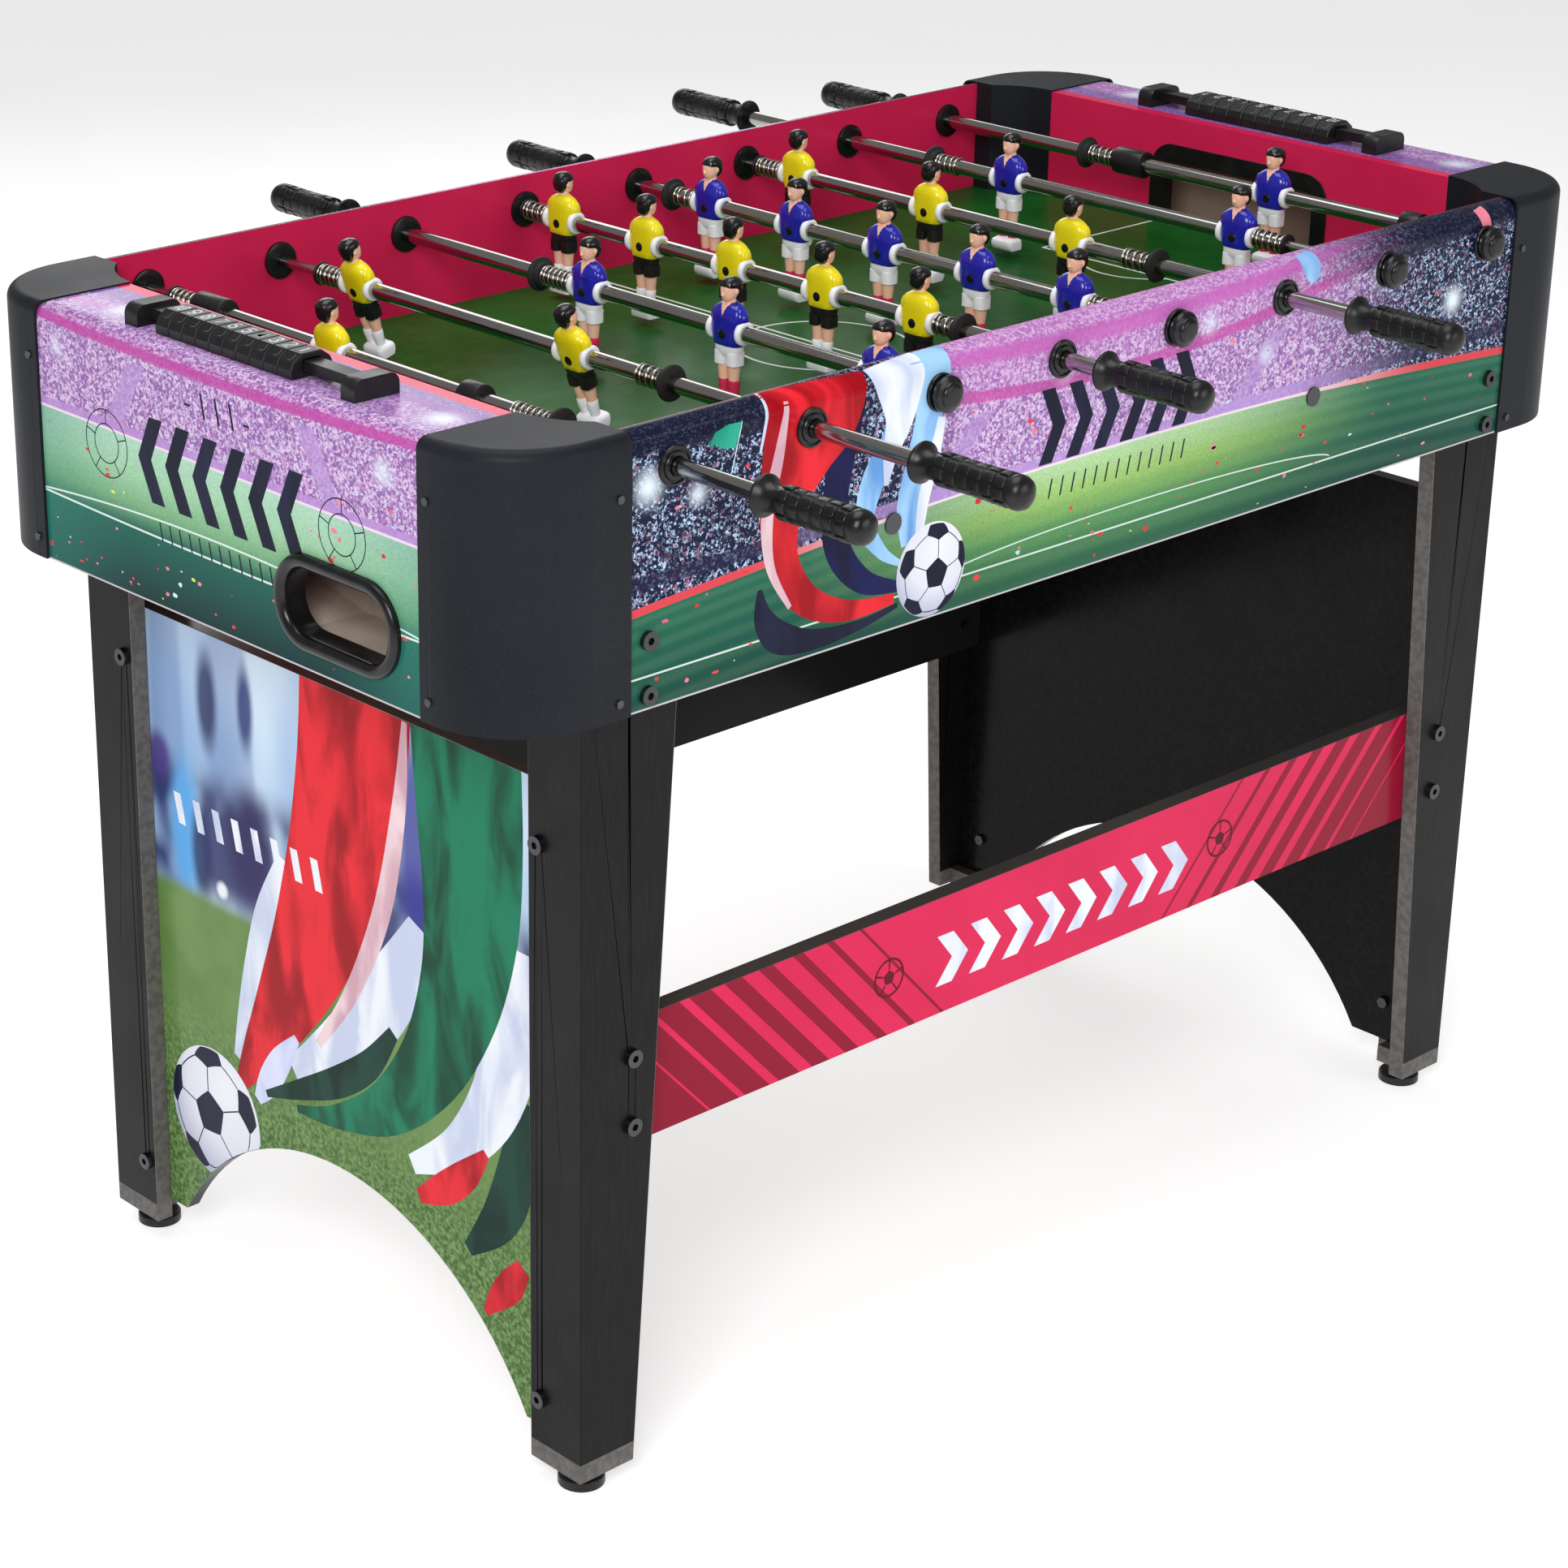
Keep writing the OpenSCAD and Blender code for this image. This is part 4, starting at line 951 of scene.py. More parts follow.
def helix(r, y0, y1, turns, per_turn=20):
    """Coil about Z with one flat turn at each end, from y0 to y1."""
    points, total = [], int(turns * per_turn)
    flat = 0.9
    for i in range(total + 1):
        t = i / per_turn
        climb = min(max((t - flat) / (turns - 2 * flat), 0.0), 1.0)
        ease = 0.04 * min(t, flat) / flat + 0.92 * climb + 0.04 * max(0.0, t - turns + flat) / flat
        points.append(Vector((r * math.cos(TAU * t), r * math.sin(TAU * t), y0 + (y1 - y0) * ease)))
    return points


def washer_outline(length):
    """Rubber stop against the coil: a wide lip and a short sleeve, drawn at least 8 mm long."""
    foot = length - 8.0
    return [(SLEEVE, foot), (12.6, foot), (13.6, foot + 0.5), (13.9, foot + 1.5), (13.8, foot + 2.6),
            (12.8, foot + 3.5),
            (10.8, foot + 4.4), (10.3, foot + 5.6), (10.2, length - 0.5), (9.6, length), (SLEEVE, length)]


def collar_outline(r, length):
    return [(SLEEVE, 0.0), (r - 1.2, 0.0), (r - 0.3, 0.3), (r, 1.2), (r, length - 1.2),
            (r - 0.3, length - 0.3), (r - 1.2, length), (SLEEVE, length)]


def build_springs(n):
    node = f"rod{n}_springs"
    piece = Piece(f"rod{n}_coils_and_stops")
    base = along_y(ROD_POS[n].x, 0.0, ROD_POS[n].z, 1.0)
    found = stretches(node, n)
    for y0, y1, width in found:
        if width < COIL_BELOW:
            wire = WIRE_R * MM
            turns = max(4, round((y1 - y0) / (COIL_PITCH * MM)))
            path = helix(COIL_R * MM, y0 + wire + COIL_CLEAR * MM, y1 - wire - COIL_CLEAR * MM, turns)
            piece.add(tube_path(path, wire, 10), "spring", base)
        else:
            length = (y1 - y0) / MM
            coil_after = any(abs(start - y1) < 1e-4 for start, _, w in found if w < COIL_BELOW)
            place = along_y(ROD_POS[n].x, y0, ROD_POS[n].z, 1.0)
            if not coil_after:
                place = along_y(ROD_POS[n].x, y1, ROD_POS[n].z, -1.0)
            is_washer = width > WASHER_ABOVE
            outline = washer_outline(length) if is_washer else collar_outline(width / 2, length)
            piece.add(turned_ring(scaled(outline), 48), "rubber" if is_washer else "black", place)
    piece.build(f"rod{n}_slide", [node], sharp=40)


def stretches(node, n):
    """(start, end, diameter in millimetres) of each coil, washer or collar, also where two touch."""
    found = []
    for lo, hi in solids(node):
        radius = {}
        for v in frame["nodes"][node].data.vertices:
            if lo.y - 1e-6 <= v.co.y <= hi.y + 1e-6:
                r = math.hypot(v.co.x - ROD_POS[n].x, v.co.z - ROD_POS[n].z)
                y = round(v.co.y, 5)
                radius[y] = max(radius.get(y, 0.0), r)
        wide = sorted(y for y, r in radius.items() if r > 0.0106)
        if not wide:
            found.append((lo.y, hi.y, 20.0))
            continue
        found.append((wide[0], wide[-1], 2 * radius[wide[0]] / MM))
        if wide[0] - lo.y > 0.004:
            found.append((lo.y, wide[0], 20.0))
        if hi.y - wide[-1] > 0.004:
            found.append((wide[-1], hi.y, 20.0))
    return found


def build_tube(n):
    """The tube: chromed pipe with its rolled thin end and the black lip of the guide plug."""
    node = f"rod{n}_tube"
    lo, hi = (Vector(c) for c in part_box(node))
    side = HANDLE_SIDE[n]
    thin = lo.y if side > 0 else hi.y
    length = (hi.y - lo.y) / MM
    at = along_y(ROD_POS[n].x, thin, ROD_POS[n].z, side)
    piece = Piece(f"rod{n}_pipe")
    pipe = [(TUBE_BORE, 2.0), (TUBE - 0.6, 2.0), (TUBE - 0.1, 2.4), (TUBE, 3.0), (TUBE, length),
            (TUBE_BORE, length)]
    piece.add(turned_ring(scaled(pipe), 64), "chrome", at)
    lip = [(4.1, 0.0), (8.6, 0.0), (9.3, 0.4), (9.5, 1.0), (9.3, 1.7), (8.8, 2.0), (TUBE_BORE, 2.0),
           (TUBE_BORE, 14.0), (4.1, 14.0)]
    piece.add(turned_ring(scaled(lip), 48), "black", at)
    piece.build(f"rod{n}_spin", [node], sharp=50)


for rod in RODS:
    build_players(rod)
    build_handle(rod)
    build_springs(rod)
    build_tube(rod)


# ---- bearings, end caps and ball-return rings ----

def build_bushings():
    """Flanged bearings with a recessed ring round the sleeve on the outer face."""
    piece = Piece("rod_bearings")
    for lo, hi in solids("rod_bushings"):
        centre = (lo + hi) / 2
        side = math.copysign(1, centre.y)
        rod = min(RODS, key=lambda n: abs(ROD_POS[n].x - centre.x))
        bore = SLEEVE + BEARING_PLAY if side == HANDLE_SIDE[rod] else CORE_BORE
        a, b = sorted((abs(lo.y) / MM, abs(hi.y) / MM))
        outline = [(bore, a), (14.0, a), (14.8, a + 0.3), (15.0, a + 1.0), (15.0, a + 3.0), (10.4, a + 3.0),
                   (10.4, b - 4.0), (14.5, b - 4.0), (14.5, b - 2.0), (14.0, b - 1.2), (13.2, b - 1.0),
                   (12.3, b - 1.2), (11.9, b - 2.2), (10.9, b - 2.2), (10.5, b - 0.7), (9.9, b - 0.1),
                   (bore + 0.9, b), (bore, b - 0.7)]
        piece.add(turned_ring(scaled(outline), 56), "gloss_black", along_y(centre.x, 0.0, centre.z, side))
    piece.build(CABINET, ["rod_bushings"], sharp=40)


def build_domes():
    """Stepped caps over the anchored ends of the inner rods."""
    piece = Piece("rod_caps")
    for lo, hi in solids("rod_end_domes"):
        centre = (lo + hi) / 2
        side = math.copysign(1, centre.y)
        base, length = min(abs(lo.y), abs(hi.y)), (hi.y - lo.y) / MM
        outline = [(0.0, 0.0), (9.0, 0.0), (9.0, 3.0), (13.2, 3.0), (13.9, 3.5), (14.0, 4.4), (14.0, 6.0),
                   (13.4, 7.2), (12.0, 7.8), (10.6, 8.0), (10.1, 8.4), (10.0, 9.4), (9.2, length - 1.0),
                   (7.6, length - 0.2), (5.0, length), (0.0, length)]
        piece.add(lathe(scaled(outline), 56), "gloss_black", along_y(centre.x, side * base, centre.z, side))
    piece.build(CABINET, ["rod_end_domes"], sharp=40)


def stadium(half_u, half_v, r, steps=12):
    """(u, v) points round a rectangle with rounded corners."""
    points = []
    for corner in range(4):
        cu = (half_u - r) * (1 if corner in (0, 3) else -1)
        cv = (half_v - r) * (1 if corner < 2 else -1)
        for i in range(steps + 1):
            a = math.radians(90) * (corner + i / steps)
            points.append((cu + r * math.cos(a), cv + r * math.sin(a)))
    return points


def build_return_rings():
    """Ball-return mouths: a rolled glossy rim outside and a thin collar through the board."""
    piece = Piece("return_mouths")
    rim = [(0.0, 0.0), (0.1, 2.6), (0.9, 4.4), (2.4, 5.6), (4.6, 6.0), (7.0, 5.7), (9.2, 4.4), (10.6, 2.4),
           (11.0, 0.0), (11.0, -16.0), (9.4, -16.0), (9.4, 0.0)]
    for lo, hi in solids("ball_return_rings"):
        centre, side = (lo + hi) / 2, math.copysign(1, (lo + hi).x)
        half_u, half_v, r = (hi.y - lo.y) / 2 / MM, (hi.z - lo.z) / 2 / MM, 35.0
        verts, faces, count = [], [], len(rim)
        loops = [stadium(half_u - inset, half_v - inset, r - inset) for inset, _ in rim]
        around = len(loops[0])
        for loop, (_, height) in zip(loops, rim):
            verts += [(side * (HALF_X + height * MM), centre.y - side * u * MM, centre.z + v * MM) for u,
                      v in loop]
        for j in range(count):
            for i in range(around):
                k, m = (i + 1) % around, (j + 1) % count
                faces.append([j * around + i, j * around + k, m * around + k, m * around + i])
        piece.add((verts, faces), "gloss_black")
    obj = piece.build(CABINET, ["ball_return_rings"], sharp=50)
    face_outwards(obj)


def face_outwards(obj):
    bm = bmesh.new()
    bm.from_mesh(obj.data)
    bmesh.ops.remove_doubles(bm, verts=bm.verts, dist=1e-7)
    bmesh.ops.recalc_face_normals(bm, faces=bm.faces)
    bm.to_mesh(obj.data)
    bm.free()


build_bushings()
build_domes()
build_return_rings()


# ---- printed figures: thin films over the faces ----

EDGE_R = 0.015


def long_face(side):
    """Places (u, v, lift) of a picture on a long side, rolled over the top edge; side is -1 at the front."""
    def place(u, v, w):
        bend = v - (TOP_Z - EDGE_R)
        if bend <= 0:
            return -side * u, side * (HALF_Y + w), v
        a = min(bend / EDGE_R, math.pi / 2)
        flat = max(0.0, bend - EDGE_R * math.pi / 2)
        out = HALF_Y - EDGE_R + (EDGE_R + w) * math.cos(a) - flat
        return -side * u, side * out, TOP_Z - EDGE_R + (EDGE_R + w) * math.sin(a)
    return place


def end_plane(side, x):
    """Places a picture on a plane facing out of an end; side is -1 at the left."""
    return lambda u, v, w: (side * (x + w), -side * u, v)


def side_plane(side, y):
    return lambda u, v, w: (-side * u, side * (y + w), v)


def lay(name, place, shapes, body=CABINET, bends=()):
    """Films from (outline in millimetres, material, level); a higher level lies on top."""
    piece = Piece(name)
    for outline, material, level in shapes:
        piece.add(prism(outline, -0.06, 0.04 + 0.025 * level), material)
    obj = piece.build(body)
    bm = bmesh.new()
    bm.from_mesh(obj.data)
    for v in bends:
        bmesh.ops.bisect_plane(bm, geom=bm.verts[:] + bm.edges[:] + bm.faces[:], plane_co=(0, v, 0),
                               plane_no=(0, 1, 0))
    for vert in bm.verts:
        vert.co = place(vert.co.x * MM, vert.co.y * MM, vert.co.z * MM)
    bmesh.ops.recalc_face_normals(bm, faces=bm.faces)
    bm.to_mesh(obj.data)
    bm.free()
    return obj


def smooth_path(points, steps=6):
    """Catmull-Rom curve through tuples of numbers."""
    path = []
    for i in range(len(points) - 1):
        p = [points[max(0, min(len(points) - 1, i + k))] for k in (-1, 0, 1, 2)]
        for j in range(steps):
            t = j / steps
            path.append(tuple(0.5 * (2 * b + (c - a) * t + (2 * a - 5 * b + 4 * c - d) * t ** 2
                                     + (3 * b - a - 3 * c + d) * t ** 3) for a, b, c, d in zip(*p)))
    return path + [tuple(points[-1])]


def streamer(points, steps=6):
    """Outline of a ribbon through (u, v, half width) points."""
    path = smooth_path(points, steps)
    left, right = [], []
    for i, (u, v, w) in enumerate(path):
        a, b = path[max(i - 1, 0)], path[min(i + 1, len(path) - 1)]
        du, dv = b[0] - a[0], b[1] - a[1]
        d = math.hypot(du, dv) or 1.0
        left.append((u - dv / d * w, v + du / d * w))
        right.append((u + dv / d * w, v - du / d * w))
    return left + right[::-1]


def stroke(points, half):
    """Outline of a pen line of even width."""
    return streamer([(u, v, half) for u, v in points], 1)


def chevron(u, v, wide, high, thick):
    left, right = u - wide / 2, u + wide / 2
    return [(left, v + high / 2), (left + thick, v + high / 2), (right, v), (left + thick, v - high / 2),
            (left, v - high / 2), (right - thick, v)]


def slanted_bar(u, v, wide, high, lean=0.0):
    return [(u - wide / 2 - lean, v - high / 2), (u + wide / 2 - lean, v - high / 2),
            (u + wide / 2 + lean, v + high / 2), (u - wide / 2 + lean, v + high / 2)]


def chevron_row(u0, u1, v0, v1, count, material, level=2):
    pitch = (u1 - u0) / count
    return [(chevron(u0 + pitch * (i + 0.5), (v0 + v1) / 2, pitch * 0.94, v1 - v0, pitch * 0.48), material,
             level)
            for i in range(count)]


def bar_row(u0, u1, v0, v1, count, fill, material, level=2):
    pitch = (u1 - u0) / count
    return [(slanted_bar(u0 + pitch * (i + 0.5), (v0 + v1) / 2, pitch * fill, v1 - v0, pitch * 0.12),
             material, level)
            for i in range(count)]


def ball_figure(u, v, r, white, tilt, level=3):
    """A stitched ball seen from in front: disc, dark patches and seams."""
    golden = (1 + 5 ** 0.5) / 2
    turn = Matrix.Rotation(math.radians(tilt[0]), 3, "X") @ Matrix.Rotation(math.radians(tilt[1]), 3, "Y")
    hubs = [turn @ Vector(p).normalized() for a in (-1, 1) for b in (-golden, golden)
            for p in ((0, a, b), (a, b, 0), (b, 0, a))]
    circle = [(u + r * math.cos(TAU * i / 64), v + r * math.sin(TAU * i / 64)) for i in range(64)]
    shapes = [(circle, white, level)]
    for hub in hubs:
        near = sorted(hubs, key=lambda h: -h.dot(hub))[1:6]
        east = near[0].cross(hub).normalized()
        north = hub.cross(east)
        near.sort(key=lambda h: math.atan2(h.dot(north), h.dot(east)))
        corners = [(hub * 2 + h).normalized() for h in near]
        for h, corner in zip(near, corners):
            far = (hub + h * 2).normalized()
            if corner.z > 0.1 and far.z > 0.1 and (hub - h).z > 0:
                seam = [corner.lerp(far, t / 4).normalized() for t in range(5)]
                line = [(u + r * q.x, v + r * q.y) for q in seam]
                shapes.append((stroke(line, r * 0.010), "ink_navy", level + 1))
        if max(c.z for c in corners) < 0.12:
            continue
        rim = [corners[i].lerp(corners[(i + 1) % 5], t / 5).normalized() for i in range(5) for t in range(5)]
        flat = [q if q.z > 0 else Vector((q.x, q.y, 0)).normalized() for q in rim]
        shapes.append(([(u + r * q.x, v + r * q.y) for q in flat], "ink_navy", level + 1))
    return shapes


def confetti(seed, count, u0, u1, v0, v1, clear, inks=("ink_scarlet", "ink_rose", "ink_lime", "ink_mint")):
    """Scattered flecks, kept out of the clear boxes (u0, u1, v0, v1)."""
    dice = random.Random(seed)
    shapes = []
    while len(shapes) < count:
        u, v = dice.uniform(u0, u1), dice.uniform(v0, v1)
        if any(a < u < b and c < v < d for a, b, c, d in clear):
            continue
        size, start = dice.choice((0.9, 1.3, 1.7, 2.6, 3.6)), dice.uniform(0, TAU)
        squash = dice.uniform(0.35, 0.8)
        fleck = [(u + size * dice.uniform(0.7, 1.2) * math.cos(start + TAU * k / 6),
                  v + size * squash * dice.uniform(0.7, 1.2) * math.sin(start + TAU * k / 6))
                 for k in range(6)]
        shapes.append((fleck, dice.choices(inks, (6, 3, 1, 1)[:len(inks)])[0], 0))
    return shapes


def long_figures():
    """A ball trailing red, white, sky and dark streamers that come over the top edge."""
    shapes = [
        (streamer([(-318, 836, 50), (-322, 812, 48), (-338, 782, 36), (-352, 745, 22), (-350, 706, 15),
                   (-326, 672, 12), (-285, 654, 8), (-236, 652, 4)]), "print_red", 3),
        (streamer([(-348, 822, 2), (-356, 784, 5), (-366, 744, 6), (-362, 704, 4), (-342, 670, 2)]),
         "print_pink", 4),
        (streamer([(-366, 836, 1.2), (-368, 816, 1.4), (-374, 790, 1.2)]), "print_white", 4),
        (streamer([(-284, 812, 14), (-292, 776, 13), (-300, 735, 13), (-294, 700, 12), (-268, 672, 9),
                   (-232, 660, 4)]), "print_night", 2),
        (streamer([(-240, 836, 27), (-236, 815, 25), (-236, 788, 15), (-244, 764, 8), (-248, 740, 2)]),
         "print_white", 4),
        (streamer([(-204, 836, 20), (-203, 812, 18), (-206, 782, 14), (-215, 748, 14), (-224, 718, 12),
                   (-222, 690, 8)]), "print_sky", 3),
        (streamer([(-232, 800, 8), (-243, 772, 12), (-262, 745, 12), (-268, 716, 9), (-250, 690, 5),
                   (-228, 676, 2)]), "print_sky", 2),
        (streamer([(-192, 780, 4), (-199, 750, 6), (-208, 722, 6), (-212, 694, 4)]), "print_white", 4),
        (streamer([(-372, 690, 2), (-368, 668, 9), (-352, 650, 12), (-318, 640, 8), (-270, 640, 4),
                   (-232, 646, 2)]), "ink_navy", 2),
        ([(-423, 805), (-417, 814), (-404, 817), (-391.5, 816.5), (-398, 799), (-410, 801), (-417, 805)],
         "ink_teal", 1),
        (stroke([(-391.5, 817), (-401, 782)], 0.4), "ink_mint", 1),
        (streamer([(225, 832, 9), (228, 818, 11), (233, 806, 5)]), "print_sky", 1),
        (streamer([(452, 830, 7), (456, 816, 6), (462, 806, 2)]), "ink_rose", 1),
    ]
    shapes += ball_figure(-198, 665.7, 36, "long_ball", (-24, 12), 5)
    shapes += chevron_row(-86, 96, 720, 778, 6, "ink_navy")
    shapes += bar_row(-77, 88, 692, 707, 13, 0.13, "ink_navy")
    clear = [(-380, -160, 630, 830), (-90, 100, 690, 780)]
    shapes += confetti(11, 70, -485, 485, 632, 716, clear)
    shapes += confetti(12, 26, -485, 485, 722, 806, clear)
    # Nothing reaches past the narrow flat on top of the panel
    return [([(u, min(v, 837.0)) for u, v in outline], ink, level) for outline, ink, level in shapes]


def end_figures():
    shapes = chevron_row(-98, 101, 707, 772, 6, "ink_navy")
    shapes += bar_row(-24, 27, 785, 804, 3, 0.14, "ink_navy")
    shapes += [(slanted_bar(u, 792, 7, 1.6), "ink_navy", 2) for u in (-33, 37)]
    shapes += bar_row(-63, 81, 680, 694, 12, 0.13, "ink_navy")
    for u in (-139, 140):
        for r in (26, 15):
            ring = [(u + r * math.cos(TAU * i / 30), 739 + r * math.sin(TAU * i / 30)) for i in range(31)]
            shapes.append((stroke(ring, 0.45), "ink_navy", 2))
        for k in range(5):
            a = TAU * (k / 5 + 0.05)
            shapes.append((stroke([(u + 15 * math.cos(a), 739 + 15 * math.sin(a)),
                                   (u + 26 * math.cos(a), 739 + 26 * math.sin(a))], 0.45), "ink_navy", 2))
    clear = [(-204, -62, 640, 716), (-100, 103, 676, 806)]
    shapes += confetti(21, 60, -222, 222, 632, 740, clear)
    shapes += confetti(22, 12, -222, 222, 760, 812, clear, ("ink_rose", "ink_rose", "ink_mint"))
    return shapes


def clear_of_arch(outline):
    """Keeps a picture off the arch cut and within the end board."""
    top, radius = 157.0, 253.4
    fine = []
    for (u0, v0), (u1, v1) in zip(outline, outline[1:] + outline[:1]):
        steps = max(1, int(math.hypot(u1 - u0, v1 - v0) / 4))
        fine += [(u0 + (u1 - u0) * t / steps, v0 + (v1 - v0) * t / steps) for t in range(steps)]
    kept = []
    for u, v in fine:
        away = math.hypot(u, v - top + 253)
        if away < radius:
            u, v = u * radius / away, top - 253 + (v - top + 253) * radius / away
        kept.append((max(-238.5, min(238.5, u)), min(v, 560.9)))
    return kept


def board_figures():
    """Hanging streamers that sweep down to a ball."""
    shapes = [
        (streamer([(-26, 575, 66), (-18, 500, 64), (2, 420, 58), (36, 340, 46), (76, 270, 32),
                   (112, 215, 18), (136, 180, 6)]), "print_red", 3),
        (streamer([(-84, 560, 3), (-76, 490, 8), (-54, 400, 10), (-16, 320, 8), (30, 256, 4)]),
         "print_pink", 4),
        (streamer([(-152, 575, 62), (-156, 500, 60), (-156, 430, 54), (-142, 360, 44), (-108, 290, 33),
                   (-54, 232, 22), (10, 200, 10), (60, 188, 3)]), "print_green", 5),
        (streamer([(-205, 420, 20), (-202, 350, 30), (-182, 286, 26), (-140, 232, 18), (-84, 196, 8)]),
         "print_white", 4),
        (streamer([(-96, 400, 12), (-72, 350, 26), (-34, 300, 28), (14, 258, 20), (64, 222, 9)]),
         "print_white", 2),
        (streamer([(66, 400, 10), (84, 345, 22), (104, 290, 20), (124, 240, 12), (138, 205, 4)]),
         "print_white", 2),
        (streamer([(-214, 300, 10), (-206, 236, 20), (-186, 190, 18), (-150, 150, 6)]), "print_forest", 3),
        (streamer([(-64, 300, 6), (-34, 262, 12), (6, 232, 13), (52, 208, 9), (100, 186, 3)]),
         "print_forest", 6),
        (streamer([(-214, 160, 8), (-200, 140, 13), (-184, 122, 10), (-170, 104, 3)]), "print_red", 5),
        (streamer([(-172, 240, 4), (-150, 214, 12), (-122, 190, 13), (-92, 172, 6)]), "print_red", 7),
        (streamer([(58, 250, 4), (80, 222, 12), (98, 196, 12), (112, 176, 5)]), "print_lilac", 4),
    ]
    shapes += bar_row(14, 216, 388, 414, 8, 0.36, "print_white", 6)
    shapes += ball_figure(170, 140, 59, "board_ball", (-30, 10), 8)
    return [(clear_of_arch(outline), material, level) for outline, material, level in shapes]


def stretcher_figures():
    shapes = chevron_row(-142, 162, 299, 342, 8, "print_white")
    for u, v in ((-194, 324), (201, 328)):
        ring = [(u + 15.5 * math.cos(TAU * i / 40), v + 15.5 * math.sin(TAU * i / 40)) for i in range(41)]
        shapes.append((stroke(ring, 1.0), "ink_wine", 1))
        inner = [(u + 6.5 * math.cos(TAU * i / 5 + 1.57),
                  v + 6.5 * math.sin(TAU * i / 5 + 1.57)) for i in range(5)]
        shapes.append((inner, "ink_wine", 1))
        for k in range(5):
            a = TAU * k / 5 + 1.57
            shapes.append((stroke([(u + 7 * math.cos(a), v + 7 * math.sin(a)),
                                   (u + 15 * math.cos(a), v + 15 * math.sin(a))], 0.8), "ink_wine", 1))
    return shapes


FOLDS = [813 + 2.6 * i for i in range(10)]
for side, name in ((-1, "front"), (1, "rear")):
    lay(f"{name}_side_figures", long_face(side), long_figures(), bends=FOLDS)
    lay(f"{name}_stretcher_figures", side_plane(side, 0.280), stretcher_figures())
for side, name in ((-1, "left"), (1, "right")):
    lay(f"{name}_end_figures", end_plane(side, HALF_X), end_figures())
    lay(f"{name}_board_figures", end_plane(side, BOARD_X), board_figures())


# ---- score numbers ----

DIGITS = {
    "0": [(0, 1.2), (0, 5.8), (1, 7), (3, 7), (4, 5.8), (4, 1.2), (3, 0), (1, 0), (0, 1.2)],
    "1": [(1, 5.6), (2.4, 7), (2.4, 0)],
    "2": [(0, 5.8), (1, 7), (3, 7), (4, 5.9), (3.9, 4.5), (0, 0), (4, 0)],
    "3": [(0, 6.2), (1, 7), (3, 7), (4, 6), (4, 4.6), (2.4, 3.7), (4, 2.8), (4, 1), (3, 0), (1, 0),
          (0, 0.9)],
    "4": [(3, 0), (3, 7), (0, 2.2), (4, 2.2)],
    "5": [(4, 7), (0.4, 7), (0.2, 4), (2.8, 4.4), (4, 3.2), (4, 1.2), (2.8, 0), (1, 0), (0, 1)],
    "6": [(3.6, 6.6), (2.2, 7), (0.5, 5.6), (0, 3.2), (0, 1.2), (1, 0), (3, 0), (4, 1.2), (4, 2.8), (3, 4),
          (1, 4), (0, 3)],
    "7": [(0, 7), (4, 7), (1.4, 0)],
    "8": [(1, 3.7), (0.2, 4.8), (0.2, 6), (1, 7), (3, 7), (3.8, 6), (3.8, 4.8), (3, 3.7), (1, 3.7), (0, 2.6),
          (0, 1), (1, 0), (3, 0), (4, 1), (4, 2.6), (3, 3.7)],
    "9": [(0.4, 0.4), (1.8, 0), (3.5, 1.4), (4, 3.8), (4, 5.8), (3, 7), (1, 7), (0, 5.8), (0, 4.2), (1, 3),
          (3, 3), (4, 4)],
}


def build_score_numbers(end, side):
    """White numerals 1 to 10 on the flat tops of the beads."""
    beads = solids(f"{end}_score_beads")
    for i, (lo, hi) in enumerate(beads):
        centre = (lo + hi) / 2
        number = str(i + 1) if side < 0 else str(len(beads) - i)
        wide, high = (5.6, 10.4) if len(number) == 1 else (4.0, 10.4)
        start = -(len(number) * wide + (len(number) - 1) * 1.8) / 2
        shapes = []
        for k, digit in enumerate(number):
            at = start + k * (wide + 1.8)
            path = [(at + u * wide / 4, (v / 7 - 0.5) * high) for u, v in DIGITS[digit]]
            shapes.append((stroke(path, 0.62), "ink_white", 0))
        lay(f"{end}_number_{number}", lambda u, v, w: (centre.x - side * v, centre.y + side * u, hi.z + w),
            shapes,
            f"{end}_bead_pack")


def build_bead_hooks(end):
    """A fine raised hook moulded on both sloping shoulders of each bead, coloured grey as a painted
    highlight.
    """
    piece = Piece(f"{end}_bead_hooks")
    for lo, hi in solids(f"{end}_score_beads"):
        half, high, mid = (hi.x - lo.x) / 2, hi.z - lo.z, (lo + hi) / 2
        for side in (-1, 1):
            top = Vector((mid.x + side * half * 0.48, mid.y, hi.z))
            foot = Vector((mid.x + side * half * 0.88, mid.y, lo.z + high * 0.68))
            down = (foot - top).normalized()
            out = Vector((-down.z * side, 0, down.x * side))
            if out.z < 0:
                out = -out
            hook = stroke([(-3.6, 1.4), (-3.6, 5.6), (-2.4, 7.4), (0.4, 7.6)], 0.28)
            verts, faces = prism(hook, -0.05, 0.12)
            shape = [top + Vector((0, u * MM, 0)) + down * (v * MM) + out * (w * MM) for u, v, w in verts]
            piece.add((shape, faces), "hook_highlight_grey")
    face_outwards(piece.build(f"{end}_bead_pack"))


build_bead_hooks("left")
build_bead_hooks("right")
build_score_numbers("left", -1)
build_score_numbers("right", 1)


# ---- CAD nodes that stay, with better materials and softened edges ----

def dress(node, material, bevel=0.0, sharp=40.0):
    obj = frame["nodes"][node]
    for s in obj.material_slots:
        s.material = M[material]
    if not obj.material_slots:
        obj.data.materials.append(M[material])
    weld = obj.modifiers.new("weld", "WELD")
    weld.merge_threshold = 1e-5
    if bevel:
        mod = obj.modifiers.new("edges", "BEVEL")
        mod.width, mod.segments, mod.limit_method = bevel, 2, "ANGLE"
        mod.angle_limit = math.radians(sharp)
        mod.harden_normals = True


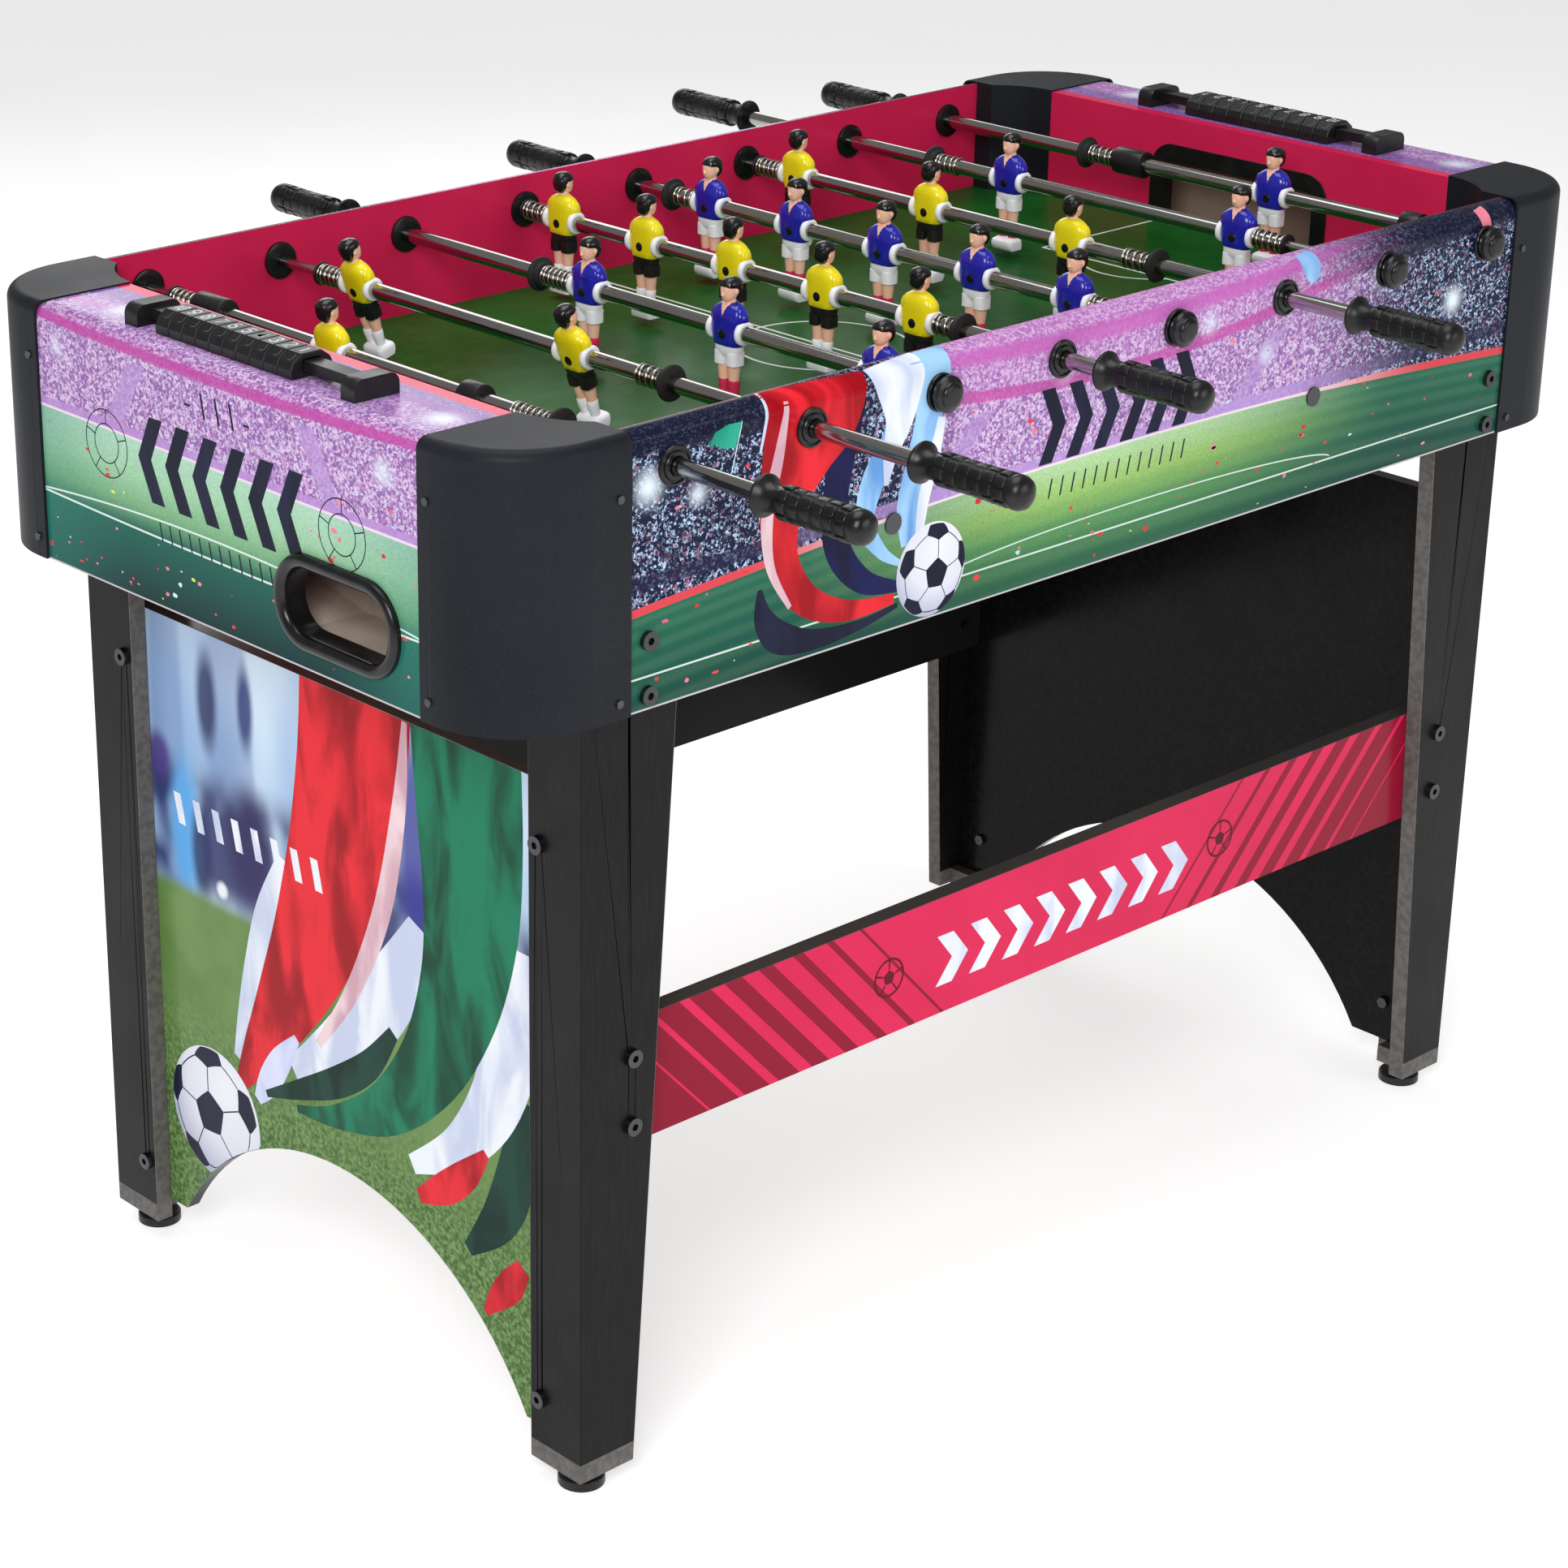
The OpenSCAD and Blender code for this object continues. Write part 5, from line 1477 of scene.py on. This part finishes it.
dress("front_side_panel", "side")
dress("rear_side_panel", "side")
dress("left_end_panel", "end")
dress("right_end_panel", "end")
dress("left_goal_wall", "crimson")
dress("right_goal_wall", "crimson")
dress("playfield", "field")
dress("playfield_battens", "fibre")
dress("corner_caps", "cap")
for leg in ("front_left_leg", "rear_left_leg", "front_right_leg", "rear_right_leg"):
    dress(leg, "leg", bevel=0.0006)
dress("leveller_feet", "black")
dress("end_boards", "board")
dress("front_stretcher", "stretcher")
dress("rear_stretcher", "stretcher")
dress("goal_frames", "gloss_black", bevel=0.0005)
dress("ball_trays", "tray")
dress("score_rails", "black", bevel=0.0008)
dress("left_score_beads", "black", bevel=0.0013)
dress("right_score_beads", "black", bevel=0.0013)
dress("frame_bolts", "zinc")
dress("panel_screws", "screw")
dress("inner_rods", "core")


# ---- stage, light and camera ----

def stage_material():
    net = Net("pale floor")
    net.shader.inputs["Emission Color"].default_value = (1, 1, 1, 1)
    net.shader.inputs["Emission Strength"].default_value = 0.55
    return net.finish(net.mix(net.noise(3.0, 2.0).between(0.3, 0.7), (0.80, 0.80, 0.80),
                              (0.82, 0.82, 0.82)), 0.9)


def build_floor():
    size = 40.0
    mesh = bpy.data.meshes.new("floor")
    mesh.from_pydata([(-size, -size, 0.0), (size, -size, 0.0), (size, size, 0.0), (-size, size, 0.0)],
                     [],
                     [(0, 1, 2, 3)])
    mesh.materials.append(stage_material())
    floor = bpy.data.objects.new("floor", mesh)
    bpy.context.scene.collection.objects.link(floor)


# All four lights point at the middle of the table
LIGHT_AIM = (0, 0, 0.6)


def area_light(name, at, width, height, power):
    data = bpy.data.lights.new(name, "AREA")
    data.shape = "RECTANGLE"
    data.size, data.size_y, data.energy, data.color = width, height, power, (1, 1, 1)
    lamp = bpy.data.objects.new(name, data)
    lamp.location = at
    lamp.rotation_euler = (Vector(LIGHT_AIM) - Vector(at)).to_track_quat("-Z", "Y").to_euler()
    bpy.context.scene.collection.objects.link(lamp)


build_floor()
area_light("overhead softbox", (-0.2, 0.3, 3.4), 2.4, 1.8, 42)
area_light("key softbox", (-3.0, -2.2, 2.7), 1.5, 1.5, 88)
area_light("front softbox", (0.6, -3.4, 1.6), 2.0, 1.4, 26)
area_light("rear fill", (1.8, 3.0, 2.2), 2.0, 1.6, 22)

world = bpy.data.worlds.new("studio")
world.use_nodes = True
world.node_tree.nodes["Background"].inputs[0].default_value = (1, 1, 1, 1)
world.node_tree.nodes["Background"].inputs[1].default_value = 0.26
bpy.context.scene.world = world
bpy.context.scene.view_settings.view_transform = "Standard"

camera_data = bpy.data.cameras.new("camera")
camera_data.sensor_width = 36.0
camera_data.lens = 86.65
camera_data.shift_x, camera_data.shift_y = 0.1037, -0.0117
camera_data.clip_end = 50.0
camera = bpy.data.objects.new("camera", camera_data)
camera.location = (-2.1124, -2.0839, 1.5720)
camera.rotation_euler = tuple(math.radians(a) for a in (67.7705, -0.2759, -42.1481))
bpy.context.scene.collection.objects.link(camera)
bpy.context.scene.camera = camera
